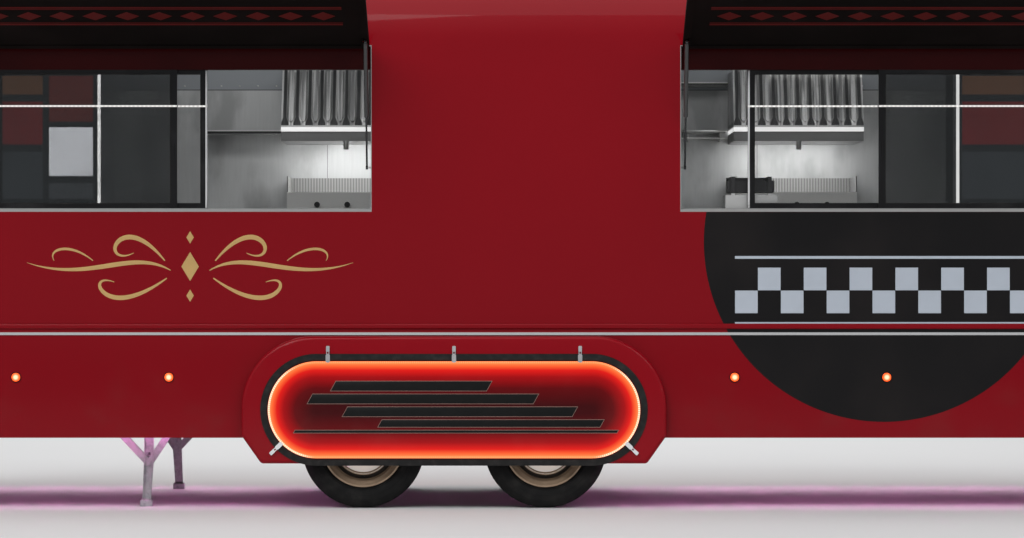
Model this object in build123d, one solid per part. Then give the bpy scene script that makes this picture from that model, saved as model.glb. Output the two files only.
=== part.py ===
"""Catering trailer: a twin-axle retro food trailer with two service hatches.

Every piece is drawn in millimetres about the point on the ground under the middle of the axle group:
+X runs forward to the tow coupling, -Y is the service side, +Z is up. On saving, each piece is moved
so that the part's origin is the centre of the tow ball in the coupling.
"""

from build123d import *
import os
from math import atan2, cos, degrees, hypot, radians, sin

os.makedirs("parts", exist_ok=True)

# Body shell
BODY_LENGTH = 7500.0
BODY_WIDTH = 2300.0
BODY_AHEAD = 370.0
ROOF_HEIGHT = 2760.0
ROOF_RADIUS = 350.0
PLAN_RADIUS = 450.0
SKIRT_HEIGHT = 363.0
BELT_HEIGHT = 900.0
WALL = 40.0
FLOOR_HEIGHT = 640.0
FLOOR_THICKNESS = 20.0

# Steel work under the floor, and the tow coupling
RAIL_SPREAD = 1250.0
RAIL_WIDTH = 50.0
RAIL_DEPTH = 140.0
BALL_AHEAD_OF_BODY = 1230.0
BALL_BELOW_RAILS = 50.0
BALL_RADIUS = 25.2

# Running gear
WHEEL_SPACING = 940.0
TYRE_RADIUS = 317.5
TYRE_WIDTH = 200.0
TYRE_BEHIND_SIDE = 10.0
STUB_RADIUS = 20.0
RUNNING_GAP = 0.3

# Service openings and their hatches
OPENING_WIDTH = 2110.0
OPENING_HEIGHT = 858.0
OPENING_PITCH = 3700.0
OPENING_BELOW_EAVES = 25.0
LINER = 4.0
SILL_THICKNESS = 13.0
LINER_DEPTH = 120.0
HATCH_GAP = 6.0
HATCH_THICKNESS = 40.0
HATCH_PROUD = 6.0
HATCH_OPEN = 110.0
HINGE_BELOW_EAVES = 10.0
KNUCKLE_RADIUS = 8.0
HINGE_PIN_RADIUS = 3.0
HINGE_LENGTH = 150.0
LEAF = 3.0

BODY_REAR = BODY_AHEAD - BODY_LENGTH / 2
BODY_FRONT = BODY_AHEAD + BODY_LENGTH / 2
REAR_SPLIT = BODY_REAR + PLAN_RADIUS
FRONT_SPLIT = BODY_FRONT - PLAN_RADIUS
SIDE = BODY_WIDTH / 2
INNER_SIDE = SIDE - WALL
EAVES_HEIGHT = ROOF_HEIGHT - ROOF_RADIUS
FLOOR_UNDER = FLOOR_HEIGHT - FLOOR_THICKNESS
RAIL_UNDER = FLOOR_UNDER - RAIL_DEPTH
BALL_AHEAD = BODY_FRONT + BALL_AHEAD_OF_BODY
BALL_HEIGHT = RAIL_UNDER - BALL_BELOW_RAILS
TRACK = BODY_WIDTH - TYRE_WIDTH - 2 * TYRE_BEHIND_SIDE
HINGE_HEIGHT = EAVES_HEIGHT - HINGE_BELOW_EAVES
OPENING_TOP = EAVES_HEIGHT - OPENING_BELOW_EAVES
SILL_HEIGHT = OPENING_TOP - OPENING_HEIGHT
OPENINGS = {"rear": BODY_AHEAD - OPENING_PITCH / 2, "front": BODY_AHEAD + OPENING_PITCH / 2}
WHEELS = [
    # name, ahead of the axle group, side (-1 right, +1 left)
    ("right_rear", -WHEEL_SPACING / 2, -1),
    ("right_front", WHEEL_SPACING / 2, -1),
    ("left_rear", -WHEEL_SPACING / 2, 1),
    ("left_front", WHEEL_SPACING / 2, 1),
]


def block(x0, x1, y0, y1, z0, z1):
    """A box between two corners."""
    return Pos((x0 + x1) / 2, (y0 + y1) / 2, (z0 + z1) / 2) * Box(x1 - x0, y1 - y0, z1 - z0)


def slab(x0, x1, y0, y1, z0, z1):
    """A box between two corners whose Y values may come in either order."""
    return block(x0, x1, min(y0, y1), max(y0, y1), z0, z1)


def bar(start, end, radius):
    """A round bar from one point to another."""
    path = Vector(end) - Vector(start)
    return extrude(Plane(origin=start, z_dir=path) * Circle(radius), path.length)


def lengthwise(shape):
    """Turns a piece drawn up the Z axis so that it lies along X."""
    return Rot(0, 90, 0) * shape


def turned(points):
    """A solid of revolution about Z from corners given as (radius, height)."""
    return revolve(make_face(Plane.XZ * Polyline(*points, close=True)), Axis.Z)


def facing_out(y, z, x=0.0):
    """A plane on the service side: its x runs forward, its y up, and it extrudes outwards."""
    return Plane(origin=(x, y, z), x_dir=(1, 0, 0), z_dir=(0, -1, 0))


def other_side(shape):
    """The same piece on the far side of the trailer."""
    return mirror(shape, about=Plane.XZ)


def both_sides(shapes):
    return [side for shape in shapes for side in (shape, other_side(shape))]


def save(name, shapes):
    """Writes one node, moved to the tow ball's frame."""
    if not isinstance(shapes, (list, tuple)):
        shapes = [shapes]
    solids = [solid for shape in shapes for solid in shape.solids()]
    node = solids[0] if len(solids) == 1 else Compound(solids)
    export_step(Pos(-BALL_AHEAD, 0, -BALL_HEIGHT) * node, f"parts/{name}.step")


def body_form(inset, bottom, top, edge_radius=0.0):
    """The body's outer form, or that form drawn in by the inset, with a rounded roof edge."""
    plan = RectangleRounded(BODY_LENGTH - 2 * inset, BODY_WIDTH - 2 * inset, PLAN_RADIUS - inset)
    form = Pos(BODY_AHEAD, 0, bottom) * extrude(plan, top - bottom)
    if edge_radius:
        form = fillet(form.faces().sort_by(Axis.Z)[-1].edges(), edge_radius)
    return form


def opening_span(name):
    return OPENINGS[name] - OPENING_WIDTH / 2, OPENINGS[name] + OPENING_WIDTH / 2


# Drawbar: where its two arms run

DRAWBAR_DEPTH = 110.0
DRAWBAR_WIDTH = 60.0
DRAWBAR_ROOT_BEHIND = 920.0
DRAWBAR_NOSE_BEHIND = 330.0
DRAWBAR_INSIDE_RAILS = 20.0
DRAWBAR_ROOT_X = BODY_FRONT - DRAWBAR_ROOT_BEHIND
DRAWBAR_NOSE_X = BALL_AHEAD - DRAWBAR_NOSE_BEHIND
DRAWBAR_ROOT_Y = RAIL_SPREAD / 2 - DRAWBAR_INSIDE_RAILS
DRAWBAR_NOSE_Y = 42.0


def drawbar_across(ahead):
    """How far the middle of a drawbar arm lies from the trailer's middle line."""
    share = (ahead - DRAWBAR_ROOT_X) / (DRAWBAR_NOSE_X - DRAWBAR_ROOT_X)
    return DRAWBAR_ROOT_Y + share * (DRAWBAR_NOSE_Y - DRAWBAR_ROOT_Y)


# Body shell: two end caps, two walls, two skirts, roof, floor and wheel boxes

DOOR_WIDTH = 760.0
DOOR_ABOVE_FLOOR = 15.0
DOOR_BELOW_EAVES = 60.0
DOOR_CORNER = 60.0
DOOR_SILL = FLOOR_HEIGHT + DOOR_ABOVE_FLOOR
DOOR_TOP = EAVES_HEIGHT - DOOR_BELOW_EAVES
NOTCH_CLEARANCE = 36.0
NOTCH_OVER = 15.0
NOTCH_HALF = drawbar_across(BODY_FRONT - WALL) + DRAWBAR_WIDTH / 2 + NOTCH_CLEARANCE
COWL_RADIUS = 150.0
COWL_NECK = 110.0
COWL_FROM_WALL = 420.0
COWL_ACROSS = INNER_SIDE - COWL_FROM_WALL
HOOD_AT = {"rear": -619.0, "front": 1883.0}
ARM_THICKNESS = 40.0
ARM_BEHIND_TYRE = 28.0
ARM_FROM_BOX = 10.0
BOX_WALL = 12.0
BOX_ROOM = 82.5
BOX_HEADROOM = 85.0
BOX_HANGS = 170.0
ARM_OUTER = TRACK / 2 - TYRE_WIDTH / 2 - ARM_BEHIND_TYRE
ARM_INNER = ARM_OUTER - ARM_THICKNESS
BOX_INNER = ARM_INNER - ARM_FROM_BOX - BOX_WALL
BOX_HALF = WHEEL_SPACING / 2 + TYRE_RADIUS + BOX_ROOM
BOX_TOP = 2 * TYRE_RADIUS + BOX_HEADROOM
BOX_BOTTOM = FLOOR_HEIGHT - BOX_HANGS


def body_shell():
    outer = body_form(0, SKIRT_HEIGHT, ROOF_HEIGHT, ROOF_RADIUS)
    inner = body_form(WALL, SKIRT_HEIGHT - WALL, ROOF_HEIGHT - WALL, ROOF_RADIUS - WALL)
    shell = outer - inner
    tall = (SKIRT_HEIGHT - WALL, ROOF_HEIGHT + WALL)
    wide = (-SIDE - WALL, SIDE + WALL)

    door_hole = block(BODY_REAR - WALL, BODY_REAR + 2 * WALL,
                      -DOOR_WIDTH / 2 - HATCH_GAP, DOOR_WIDTH / 2 + HATCH_GAP,
                      DOOR_SILL - HATCH_GAP, DOOR_TOP + HATCH_GAP)
    door_hole = fillet(door_hole.edges().filter_by(Axis.X), DOOR_CORNER + HATCH_GAP)
    save("rear_cap", (shell & block(BODY_REAR - WALL, REAR_SPLIT, *wide, *tall)) - door_hole)
    drawbar_notch = block(FRONT_SPLIT, BODY_FRONT + WALL, -NOTCH_HALF, NOTCH_HALF,
                          SKIRT_HEIGHT - WALL, RAIL_UNDER + NOTCH_OVER)
    save("front_cap", (shell & block(FRONT_SPLIT, BODY_FRONT + WALL, *wide, *tall)) - drawbar_notch)

    roof = shell & block(REAR_SPLIT, FRONT_SPLIT, *wide, EAVES_HEIGHT, ROOF_HEIGHT + WALL)
    for ahead in HOOD_AT.values():
        roof -= Pos(ahead, COWL_ACROSS, ROOF_HEIGHT) * Cylinder(COWL_NECK, 4 * WALL)
    save("roof_shell", roof)

    wall = block(REAR_SPLIT, FRONT_SPLIT, -SIDE, -INNER_SIDE, BELT_HEIGHT, EAVES_HEIGHT)
    save("left_wall", other_side(wall))
    for name in OPENINGS:
        wall -= block(*opening_span(name), -SIDE - WALL, -INNER_SIDE + WALL, SILL_HEIGHT, OPENING_TOP)
    save("service_wall", wall)

    skirt = block(REAR_SPLIT, FRONT_SPLIT, -SIDE, -INNER_SIDE, SKIRT_HEIGHT, BELT_HEIGHT)
    skirt -= block(-BOX_HALF, BOX_HALF, -SIDE - WALL, -INNER_SIDE + WALL, SKIRT_HEIGHT - WALL, BOX_TOP)
    save("side_skirts", both_sides([skirt]))

    floor = body_form(WALL, FLOOR_UNDER, FLOOR_HEIGHT)
    for side in (-1, 1):
        floor -= slab(-BOX_HALF, BOX_HALF, side * BOX_INNER, side * SIDE, 0, ROOF_HEIGHT)
    save("floor_deck", floor)

    box = block(-BOX_HALF, BOX_HALF, -INNER_SIDE, -BOX_INNER, BOX_BOTTOM, BOX_TOP)
    box -= block(-BOX_HALF + BOX_WALL, BOX_HALF - BOX_WALL, -SIDE, -BOX_INNER - BOX_WALL,
                 BOX_BOTTOM - WALL, BOX_TOP - BOX_WALL)
    save("wheel_boxes", both_sides([box]))


# Belt: a half-round bead over a flat aluminium strip, all the way round but for the door

BEAD_ABOVE_BELT = 37.0
BEAD_DEPTH = 28.0
BEAD_PROUD = 12.0
STRIP_BELOW_BELT = 1.0
STRIP_DEPTH = 14.0
STRIP_PROUD = 5.0
STRIP_BOTTOM = BELT_HEIGHT - STRIP_BELOW_BELT - STRIP_DEPTH / 2


def belt_trim():
    door_gap = block(BODY_REAR - WALL, BODY_REAR + WALL, -DOOR_WIDTH / 2 - WALL, DOOR_WIDTH / 2 + WALL,
                     0, ROOF_HEIGHT)

    def ring(proud, low, depth):
        return body_form(-proud, low, low + depth) - body_form(0, low, low + depth)

    bead = ring(BEAD_PROUD, BELT_HEIGHT + BEAD_ABOVE_BELT - BEAD_DEPTH / 2, BEAD_DEPTH)
    outside = [edge for face in bead.faces() | Plane.XY for edge in face.outer_wire().edges()]
    bead = fillet(outside, BEAD_PROUD * 0.8)
    strip = ring(STRIP_PROUD, STRIP_BOTTOM, STRIP_DEPTH)
    save("belt_trim", [bead - door_gap, strip - door_gap])


# Service openings: liner with sill and window track, header, sashes, glass, light bars, menu boards

SASH_DEPTH = 18.0
SASH_GAP = 4.0
SASH_SILL = 6.0
HEADER_DEPTH = 119.0
HEADER_SET_BACK = 70.0
STILE = 31.0
RAIL_TOP = 18.0
RAIL_BOTTOM = 22.0
GLASS = 5.0
LIGHT_BAR = 9.0
LIGHT_BAR_PROUD = 3.0
LIGHT_BAR_ABOVE_SILL = 543.0
BOARD_DEPTH = 16.0
BOARD_OVERLAP = 30.0
HEADER_FACE = SIDE - HEADER_SET_BACK
HEADER_BOTTOM = OPENING_TOP - LINER - HEADER_DEPTH
SASHES = [
    # opening, track (0 outside, 1 inside), overlap past the middle, jamb it is set from, gap from that jamb
    ("rear", 0, 46.0, -1, 1.0),
    ("rear", 1, 46.0, -1, 156.0),
    ("front", 1, 10.0, -1, 349.0),
    ("front", 0, 27.0, 1, 0.0),
]
BOARDS = [
    # opening, jamb it is set from, gap from that jamb, width
    ("rear", -1, 31.0, 668.0),
    ("front", 1, 31.0, 638.0),
]
STRUT_FOOT_BELOW_HINGE = 644.0
STRUT_BEHIND_HATCH = 18.0
STRUT_FROM_JAMB = 22.0
STRUT_END_PLAY = 1.5
EYE_WIDTH = 12.0
STUD_RADIUS = 5.0


def from_jamb(name, jamb, gap, width):
    """The rear and front edge of a piece set beside the rear (-1) or front (1) jamb of an opening."""
    rear, front = opening_span(name)
    if jamb < 0:
        return rear + LINER + gap, rear + LINER + gap + width
    return front - LINER - gap - width, front - LINER - gap


def service_openings():
    liner_back = -SIDE + LINER_DEPTH
    track = SILL_HEIGHT + SILL_THICKNESS
    stud_y = -SIDE - HATCH_PROUD + HATCH_THICKNESS + STRUT_BEHIND_HATCH
    stud_z = HINGE_HEIGHT - STRUT_FOOT_BELOW_HINGE
    stud = STRUT_FROM_JAMB - EYE_WIDTH / 2 - STRUT_END_PLAY
    liners, headers = [], []
    for name in OPENINGS:
        rear, front = opening_span(name)
        liner = block(rear, front, -SIDE, liner_back, SILL_HEIGHT, OPENING_TOP)
        liner -= block(rear + LINER, front - LINER, -SIDE - WALL, liner_back + WALL,
                       track, OPENING_TOP - LINER)
        liner += block(rear + LINER, front - LINER, -HEADER_FACE, liner_back, track, track + SASH_SILL)
        for jamb, inwards in ((rear + LINER, 1), (front - LINER, -1)):
            liner += bar((jamb, stud_y, stud_z), (jamb + inwards * stud, stud_y, stud_z), STUD_RADIUS)
        liners.append(liner)
        headers.append(block(rear + LINER, front - LINER, -HEADER_FACE, liner_back,
                             HEADER_BOTTOM, OPENING_TOP - LINER))
    save("opening_liners", liners)
    save("header_panels", headers)

    low = track + SASH_SILL
    light_z = SILL_HEIGHT + LIGHT_BAR_ABOVE_SILL
    sashes, panes, lights, covered = [], [], [], {}
    for name, inside, overlap, jamb, gap in SASHES:
        rear, front = from_jamb(name, jamb, gap, OPENING_WIDTH / 2 - LINER + overlap)
        face = -HEADER_FACE + SASH_GAP + inside * (SASH_DEPTH + SASH_GAP)
        pane = (rear + STILE, front - STILE)
        pane_tall = (low + RAIL_BOTTOM, HEADER_BOTTOM - RAIL_TOP)
        sash = block(rear, front, face, face + SASH_DEPTH, low, HEADER_BOTTOM)
        sashes.append(sash - block(*pane, face - WALL, face + WALL, *pane_tall))
        middle = face + SASH_DEPTH / 2
        panes.append(block(*pane, middle - GLASS / 2, middle + GLASS / 2, *pane_tall))
        covered.setdefault(name, {})[inside] = (rear, front, face)
    for sash in covered.values():
        rear, front, face = sash[0]
        lights.append(block(rear, front, face - LIGHT_BAR_PROUD, face, light_z, light_z + LIGHT_BAR))
        inner_rear, inner_front, inner_face = sash[1]
        free = (inner_rear, rear - SASH_GAP) if inner_rear < rear else (front + SASH_GAP, inner_front)
        lights.append(block(*free, inner_face - LIGHT_BAR_PROUD, inner_face, light_z, light_z + LIGHT_BAR))
    save("window_sashes", sashes)
    save("window_glass", panes)
    save("sash_lights", lights)
    save("menu_boards", [block(*from_jamb(*place), liner_back, liner_back + BOARD_DEPTH,
                               low + SASH_SILL, HEADER_BOTTOM + BOARD_OVERLAP) for place in BOARDS])


# Hatches with butt hinges and gas struts

HATCH_EDGE_RADIUS = 5.0
HATCH_FRAME = 40.0
HATCH_RECESS = 6.0
HATCH_LEAF = 60.0
HINGE_FROM_END = 195.0
KNUCKLE_PLAY = 1.0
LEAF_CLEARANCE = 4.0
STRUT_ARM = 150.0
STRUT_EAR = 5.0
STRUT_EAR_HALF = 16.0
STRUT_EAR_ROOT = 8.0
TUBE_RADIUS = 11.0
TUBE_CLEARANCE = 2.0
TUBE_END_ROOM = 94.0
TUBE_BLIND_END = 60.0
ROD_RADIUS = 5.0
ROD_SPARE = 30.4
EYE_RADIUS = 10.0
EYE_NECK = 7.0
HINGE_Y = -SIDE - HATCH_PROUD - KNUCKLE_RADIUS
HATCH_WIDTH = OPENING_WIDTH - 2 * (LINER + HATCH_GAP)
HATCH_BOTTOM = SILL_HEIGHT + SILL_THICKNESS + HATCH_GAP
HATCH_TOP = OPENING_TOP - LINER - HATCH_GAP
KNUCKLE = (HINGE_LENGTH - 2 * KNUCKLE_PLAY) / 3


def fixed_leaf(wall_gap, upper):
    """The hinge's fixed half about its pin: middle knuckle, pin, web and the leaf on the wall."""
    half = HINGE_LENGTH / 2
    wall_face = KNUCKLE_RADIUS + wall_gap
    leaf = block(-half, half, wall_face - LEAF, wall_face, -upper, upper)
    leaf += block(-KNUCKLE / 2, KNUCKLE / 2, 0, wall_face, -LEAF_CLEARANCE, upper)
    leaf += lengthwise(Cylinder(KNUCKLE_RADIUS, KNUCKLE))
    return leaf + lengthwise(Cylinder(HINGE_PIN_RADIUS, HINGE_LENGTH))


def moving_leaf(lower):
    """The hinge's moving half about its pin: two end knuckles and the leaf on the panel's face."""
    half = HINGE_LENGTH / 2
    under = -KNUCKLE_RADIUS - LEAF_CLEARANCE
    leaf = block(-half, half, KNUCKLE_RADIUS - LEAF, KNUCKLE_RADIUS, -lower, under)
    for end in (-1, 1):
        middle = end * (half - KNUCKLE / 2)
        leaf += Pos(middle, 0, 0) * lengthwise(Cylinder(KNUCKLE_RADIUS, KNUCKLE))
        leaf += block(middle - KNUCKLE / 2, middle + KNUCKLE / 2, KNUCKLE_RADIUS - LEAF, KNUCKLE_RADIUS,
                      under, 0)
    return leaf - lengthwise(Cylinder(HINGE_PIN_RADIUS + RUNNING_GAP, 2 * HINGE_LENGTH))


def strut_points():
    """The strut's foot on the jamb and its pin on the hatch, shut and open, across and up from the
    hinge pin."""
    across = KNUCKLE_RADIUS + HATCH_THICKNESS + STRUT_BEHIND_HATCH
    turn = radians(HATCH_OPEN)
    opened_pin = (across * cos(turn) - STRUT_ARM * sin(turn), -across * sin(turn) - STRUT_ARM * cos(turn))
    return (across, -STRUT_FOOT_BELOW_HINGE), (across, -STRUT_ARM), opened_pin


def hatch_panel(strut_at):
    """One hatch, shut, about its hinge pin: a framed panel with its hinge halves and strut ears."""
    low, high = HATCH_BOTTOM - HINGE_HEIGHT, HATCH_TOP - HINGE_HEIGHT
    face, back = KNUCKLE_RADIUS, KNUCKLE_RADIUS + HATCH_THICKNESS
    half = HATCH_WIDTH / 2
    panel = block(-half, half, face, back, low, high)
    panel = fillet(panel.faces().sort_by(Axis.Y)[0].edges(), HATCH_EDGE_RADIUS)
    panel -= block(-half + HATCH_FRAME, half - HATCH_FRAME, back - HATCH_RECESS, back + WALL,
                   low + HATCH_FRAME, high - HATCH_FRAME)
    for at in (HINGE_FROM_END - half, 0, half - HINGE_FROM_END):
        panel += Pos(at, 0, 0) * moving_leaf(HATCH_LEAF)
    pin_y = back + STRUT_BEHIND_HATCH
    for end in (-1, 1):
        ear = end * (strut_at - TUBE_RADIUS - TUBE_CLEARANCE)
        ear_span = sorted((ear, ear - end * STRUT_EAR))
        panel += block(*ear_span, back - STRUT_EAR_ROOT, pin_y + EYE_RADIUS,
                       -STRUT_ARM - STRUT_EAR_HALF, -STRUT_ARM + STRUT_EAR_HALF)
        panel += bar((ear, pin_y, -STRUT_ARM),
                     (end * (strut_at + EYE_WIDTH / 2 + TUBE_CLEARANCE), pin_y, -STRUT_ARM), STUD_RADIUS)
    return panel


def hatches():
    foot, shut, opened_pin = strut_points()
    lean = degrees(atan2(foot[0] - opened_pin[0], opened_pin[1] - foot[1]))
    opened_length = hypot(foot[0] - opened_pin[0], opened_pin[1] - foot[1])
    shut_length = shut[1] - foot[1]
    tube_length = shut_length - TUBE_END_ROOM
    rod_top = -(TUBE_BLIND_END + ROD_SPARE + opened_length - shut_length)
    strut_at = HATCH_WIDTH / 2 + HATCH_GAP - STRUT_FROM_JAMB

    tube = lengthwise(Cylinder(EYE_RADIUS, EYE_WIDTH))
    tube += Pos(0, 0, -(tube_length + EYE_NECK) / 2) * Cylinder(TUBE_RADIUS, tube_length - EYE_NECK)
    tube -= Pos(0, 0, -tube_length) * Cylinder(ROD_RADIUS + RUNNING_GAP, 2 * (tube_length - TUBE_BLIND_END))
    tube -= lengthwise(Cylinder(STUD_RADIUS + RUNNING_GAP, 2 * EYE_WIDTH))
    rod = Pos(0, 0, (rod_top - opened_length) / 2) * Cylinder(ROD_RADIUS, rod_top + opened_length)
    rod += Pos(0, 0, -opened_length) * lengthwise(Cylinder(EYE_RADIUS, EYE_WIDTH))

    panel = hatch_panel(strut_at)
    leaves = []
    for name, ahead in OPENINGS.items():
        save(f"hatch_{name}", Pos(ahead, HINGE_Y, HINGE_HEIGHT) * Rot(-HATCH_OPEN, 0, 0) * panel)
        placed = [Pos(ahead + end * strut_at, HINGE_Y + opened_pin[0], HINGE_HEIGHT + opened_pin[1])
                  * Rot(lean, 0, 0) for end in (-1, 1)]
        save(f"strut_tubes_{name}", [at * tube for at in placed])
        save(f"strut_rods_{name}", [at * rod for at in placed])
        reach = HATCH_WIDTH / 2 - HINGE_FROM_END
        for at in (-reach, 0, reach):
            leaves.append(Pos(ahead + at, HINGE_Y, HINGE_HEIGHT)
                          * fixed_leaf(HATCH_PROUD, HINGE_BELOW_EAVES - KNUCKLE_PLAY))
    save("hatch_hinges", leaves)


# Wheel arch surrounds, oval covers, lit rings and latches

SURROUND_BELOW_STRIP = 6.0
SURROUND_BORDER = 97.5
SURROUND_CORNER = 368.0
SURROUND_DEPTH = 55.0
SURROUND_EDGE = 20.0
SURROUND_TOE = 26.0
SURROUND_WALL = 12.0
KNEE_RISE = 143.0
TOE_IN = 101.0
OVAL_HALF = 708.0
OVAL_RADIUS = 287.5
OVAL_FROM_TOP = 90.0
OVAL_BELOW_SURROUND = 11.0
SEAL_GAP = 0.5
SEAL_WIDTH = 31.0
SEAL_PROUD = 4.0
COVER_BEHIND = 15.0
COVER_THICKNESS = 30.0
LIT_RING_WIDTH = 10.0
LIT_RING_FROM_EDGE = 7.0
LATCH_WIDTH = 22.0
LATCH_FROM_END = 60.0
LOW_LATCH_ANGLE = 134.0
SURROUND_TOP = STRIP_BOTTOM - SURROUND_BELOW_STRIP
SURROUND_HALF = OVAL_HALF + OVAL_RADIUS + SURROUND_BORDER
OVAL_HEIGHT = SURROUND_TOP - OVAL_FROM_TOP - OVAL_RADIUS
SURROUND_BOTTOM = OVAL_HEIGHT - OVAL_RADIUS + OVAL_BELOW_SURROUND


def oval(radius):
    """The stadium outline that the cover, its seal and the lit ring share."""
    return SlotCenterToCenter(2 * OVAL_HALF, 2 * radius)


def surround_outline(inset):
    """The arch moulding's outline, or that outline drawn in by the inset."""
    reach, top, low = SURROUND_HALF - inset, SURROUND_TOP - inset, SURROUND_BOTTOM + inset
    corner = SURROUND_CORNER - inset
    flat = reach - corner
    knee = SURROUND_BOTTOM + KNEE_RISE + inset / 4
    toe = SURROUND_HALF - TOE_IN - inset
    with BuildSketch() as outline:
        with BuildLine():
            Line((-flat, top), (flat, top))
            RadiusArc((flat, top), (reach, top - corner), corner)
            Polyline((reach, top - corner), (reach, knee), (toe, low), (-toe, low), (-reach, knee),
                     (-reach, top - corner))
            RadiusArc((-reach, top - corner), (-flat, top), corner)
        make_face()
        toes = outline.vertices().sort_by(Axis.Y)[:2]
        fillet(toes, SURROUND_TOE)
    return outline.sketch


def latch():
    """A toggle latch lying along its plane's y: hook plate above, lever and wire loop below."""
    base = Pos(0, -24, 0) * extrude(RectangleRounded(LATCH_WIDTH, 40, 4), 10)
    lever = Pos(0, -22, 10) * extrude(RectangleRounded(LATCH_WIDTH - 8, 46, 5), 6)
    hook = Pos(0, 26, -SEAL_PROUD) * extrude(RectangleRounded(LATCH_WIDTH - 4, 30, 4), 12)
    loop = Pos(0, 8, 6) * extrude(RectangleRounded(LATCH_WIDTH - 6, 44, 6)
                                  - RectangleRounded(LATCH_WIDTH - 14, 34, 3), 4)
    return base + lever + hook + loop


def wheel_covers():
    surround = extrude(facing_out(-SIDE, 0) * surround_outline(0), SURROUND_DEPTH)
    surround = fillet(surround.faces().sort_by(Axis.Y)[0].edges(), SURROUND_EDGE)
    band = oval(OVAL_RADIUS + SURROUND_WALL)
    hollow = extrude(facing_out(-SIDE, 0) * surround_outline(SURROUND_WALL),
                     SURROUND_DEPTH - SURROUND_WALL)
    hollow -= extrude(facing_out(-SIDE + WALL, OVAL_HEIGHT) * band, SURROUND_DEPTH + 2 * WALL)
    surround -= hollow
    surround -= extrude(facing_out(-SIDE + WALL, OVAL_HEIGHT) * oval(OVAL_RADIUS), SURROUND_DEPTH + 2 * WALL)
    save("wheel_surrounds", both_sides([surround]))

    seal_radius = OVAL_RADIUS - SEAL_GAP
    panel_radius = seal_radius - SEAL_WIDTH
    lit_radius = panel_radius - LIT_RING_FROM_EDGE
    back = facing_out(-SIDE - COVER_BEHIND, OVAL_HEIGHT)
    seal = extrude(back * (oval(seal_radius) - oval(panel_radius)),
                   SURROUND_DEPTH - COVER_BEHIND + SEAL_PROUD)
    panel = extrude(back * oval(panel_radius), COVER_THICKNESS)
    lit = extrude(facing_out(-SIDE - COVER_BEHIND - COVER_THICKNESS, OVAL_HEIGHT)
                  * (oval(lit_radius) - oval(lit_radius - LIT_RING_WIDTH)), LIT_RING_WIDTH)
    save("cover_seals", both_sides([seal]))
    save("cover_panels", both_sides([panel]))
    save("led_rings", both_sides([lit]))

    seat = -SIDE - SURROUND_DEPTH - SEAL_PROUD
    last = OVAL_HALF - LATCH_FROM_END
    latches = [facing_out(seat, OVAL_HEIGHT + OVAL_RADIUS, ahead) * latch() for ahead in (-last, 0, last)]
    for end in (-1, 1):
        corner = facing_out(seat, OVAL_HEIGHT, end * OVAL_HALF)
        latches.append(corner * Rot(0, 0, -end * LOW_LATCH_ANGLE) * Pos(0, OVAL_RADIUS, 0) * latch())
    save("cover_latches", both_sides(latches))


# Wheels: a steel rim with a stepped well and a domed centre cap

RIM_SEAT_RADIUS = 190.0
RIM_FLANGE = 18.0
RIM_LIP = 6.0
RIM_WIDTH = 156.0
RIM_METAL = 6.0
RIM_STEP_RADIUS = 166.0
RIM_STEP_BACK = 28.0
RIM_WELL_BACK = 62.0
CAP_RADIUS = 137.0
CAP_WALL_RADIUS = 148.0
CAP_BACK = 8.0
CAP_DOME = 26.0
HUB_RADIUS = 46.0
DRUM_RADIUS = 118.0
DRUM_CLEARANCE = 4.0
TYRE_SIDEWALL = 14.0
TYRE_SHOULDER = 26.0


def wheel_frame(ahead, side):
    """A wheel's own frame: its Z is the axle, pointing outwards."""
    return Plane(origin=(ahead, side * TRACK / 2, TYRE_RADIUS), x_dir=(1, 0, 0), z_dir=(0, side, 0))


def tyre():
    half = TYRE_WIDTH / 2
    bead = RIM_WIDTH / 2 - 0.5
    flange = RIM_SEAT_RADIUS + RIM_FLANGE
    profile = [
        # radius, half width: bead, rim protector, widest point, shoulder, tread
        (RIM_SEAT_RADIUS + RUNNING_GAP, bead), (flange + 4, bead), (flange + 8, half - TYRE_SIDEWALL / 2),
        (flange + TYRE_SIDEWALL, half - TYRE_SIDEWALL / 3), ((flange + TYRE_RADIUS) / 2, half),
        (TYRE_RADIUS - TYRE_SHOULDER, half - TYRE_SIDEWALL / 2),
        (TYRE_RADIUS - TYRE_SHOULDER / 3, half - TYRE_SHOULDER * 0.8), (TYRE_RADIUS, half - TYRE_SHOULDER * 1.3),
    ]
    return turned([(r, a) for r, a in profile] + [(r, -a) for r, a in reversed(profile)])


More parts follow.
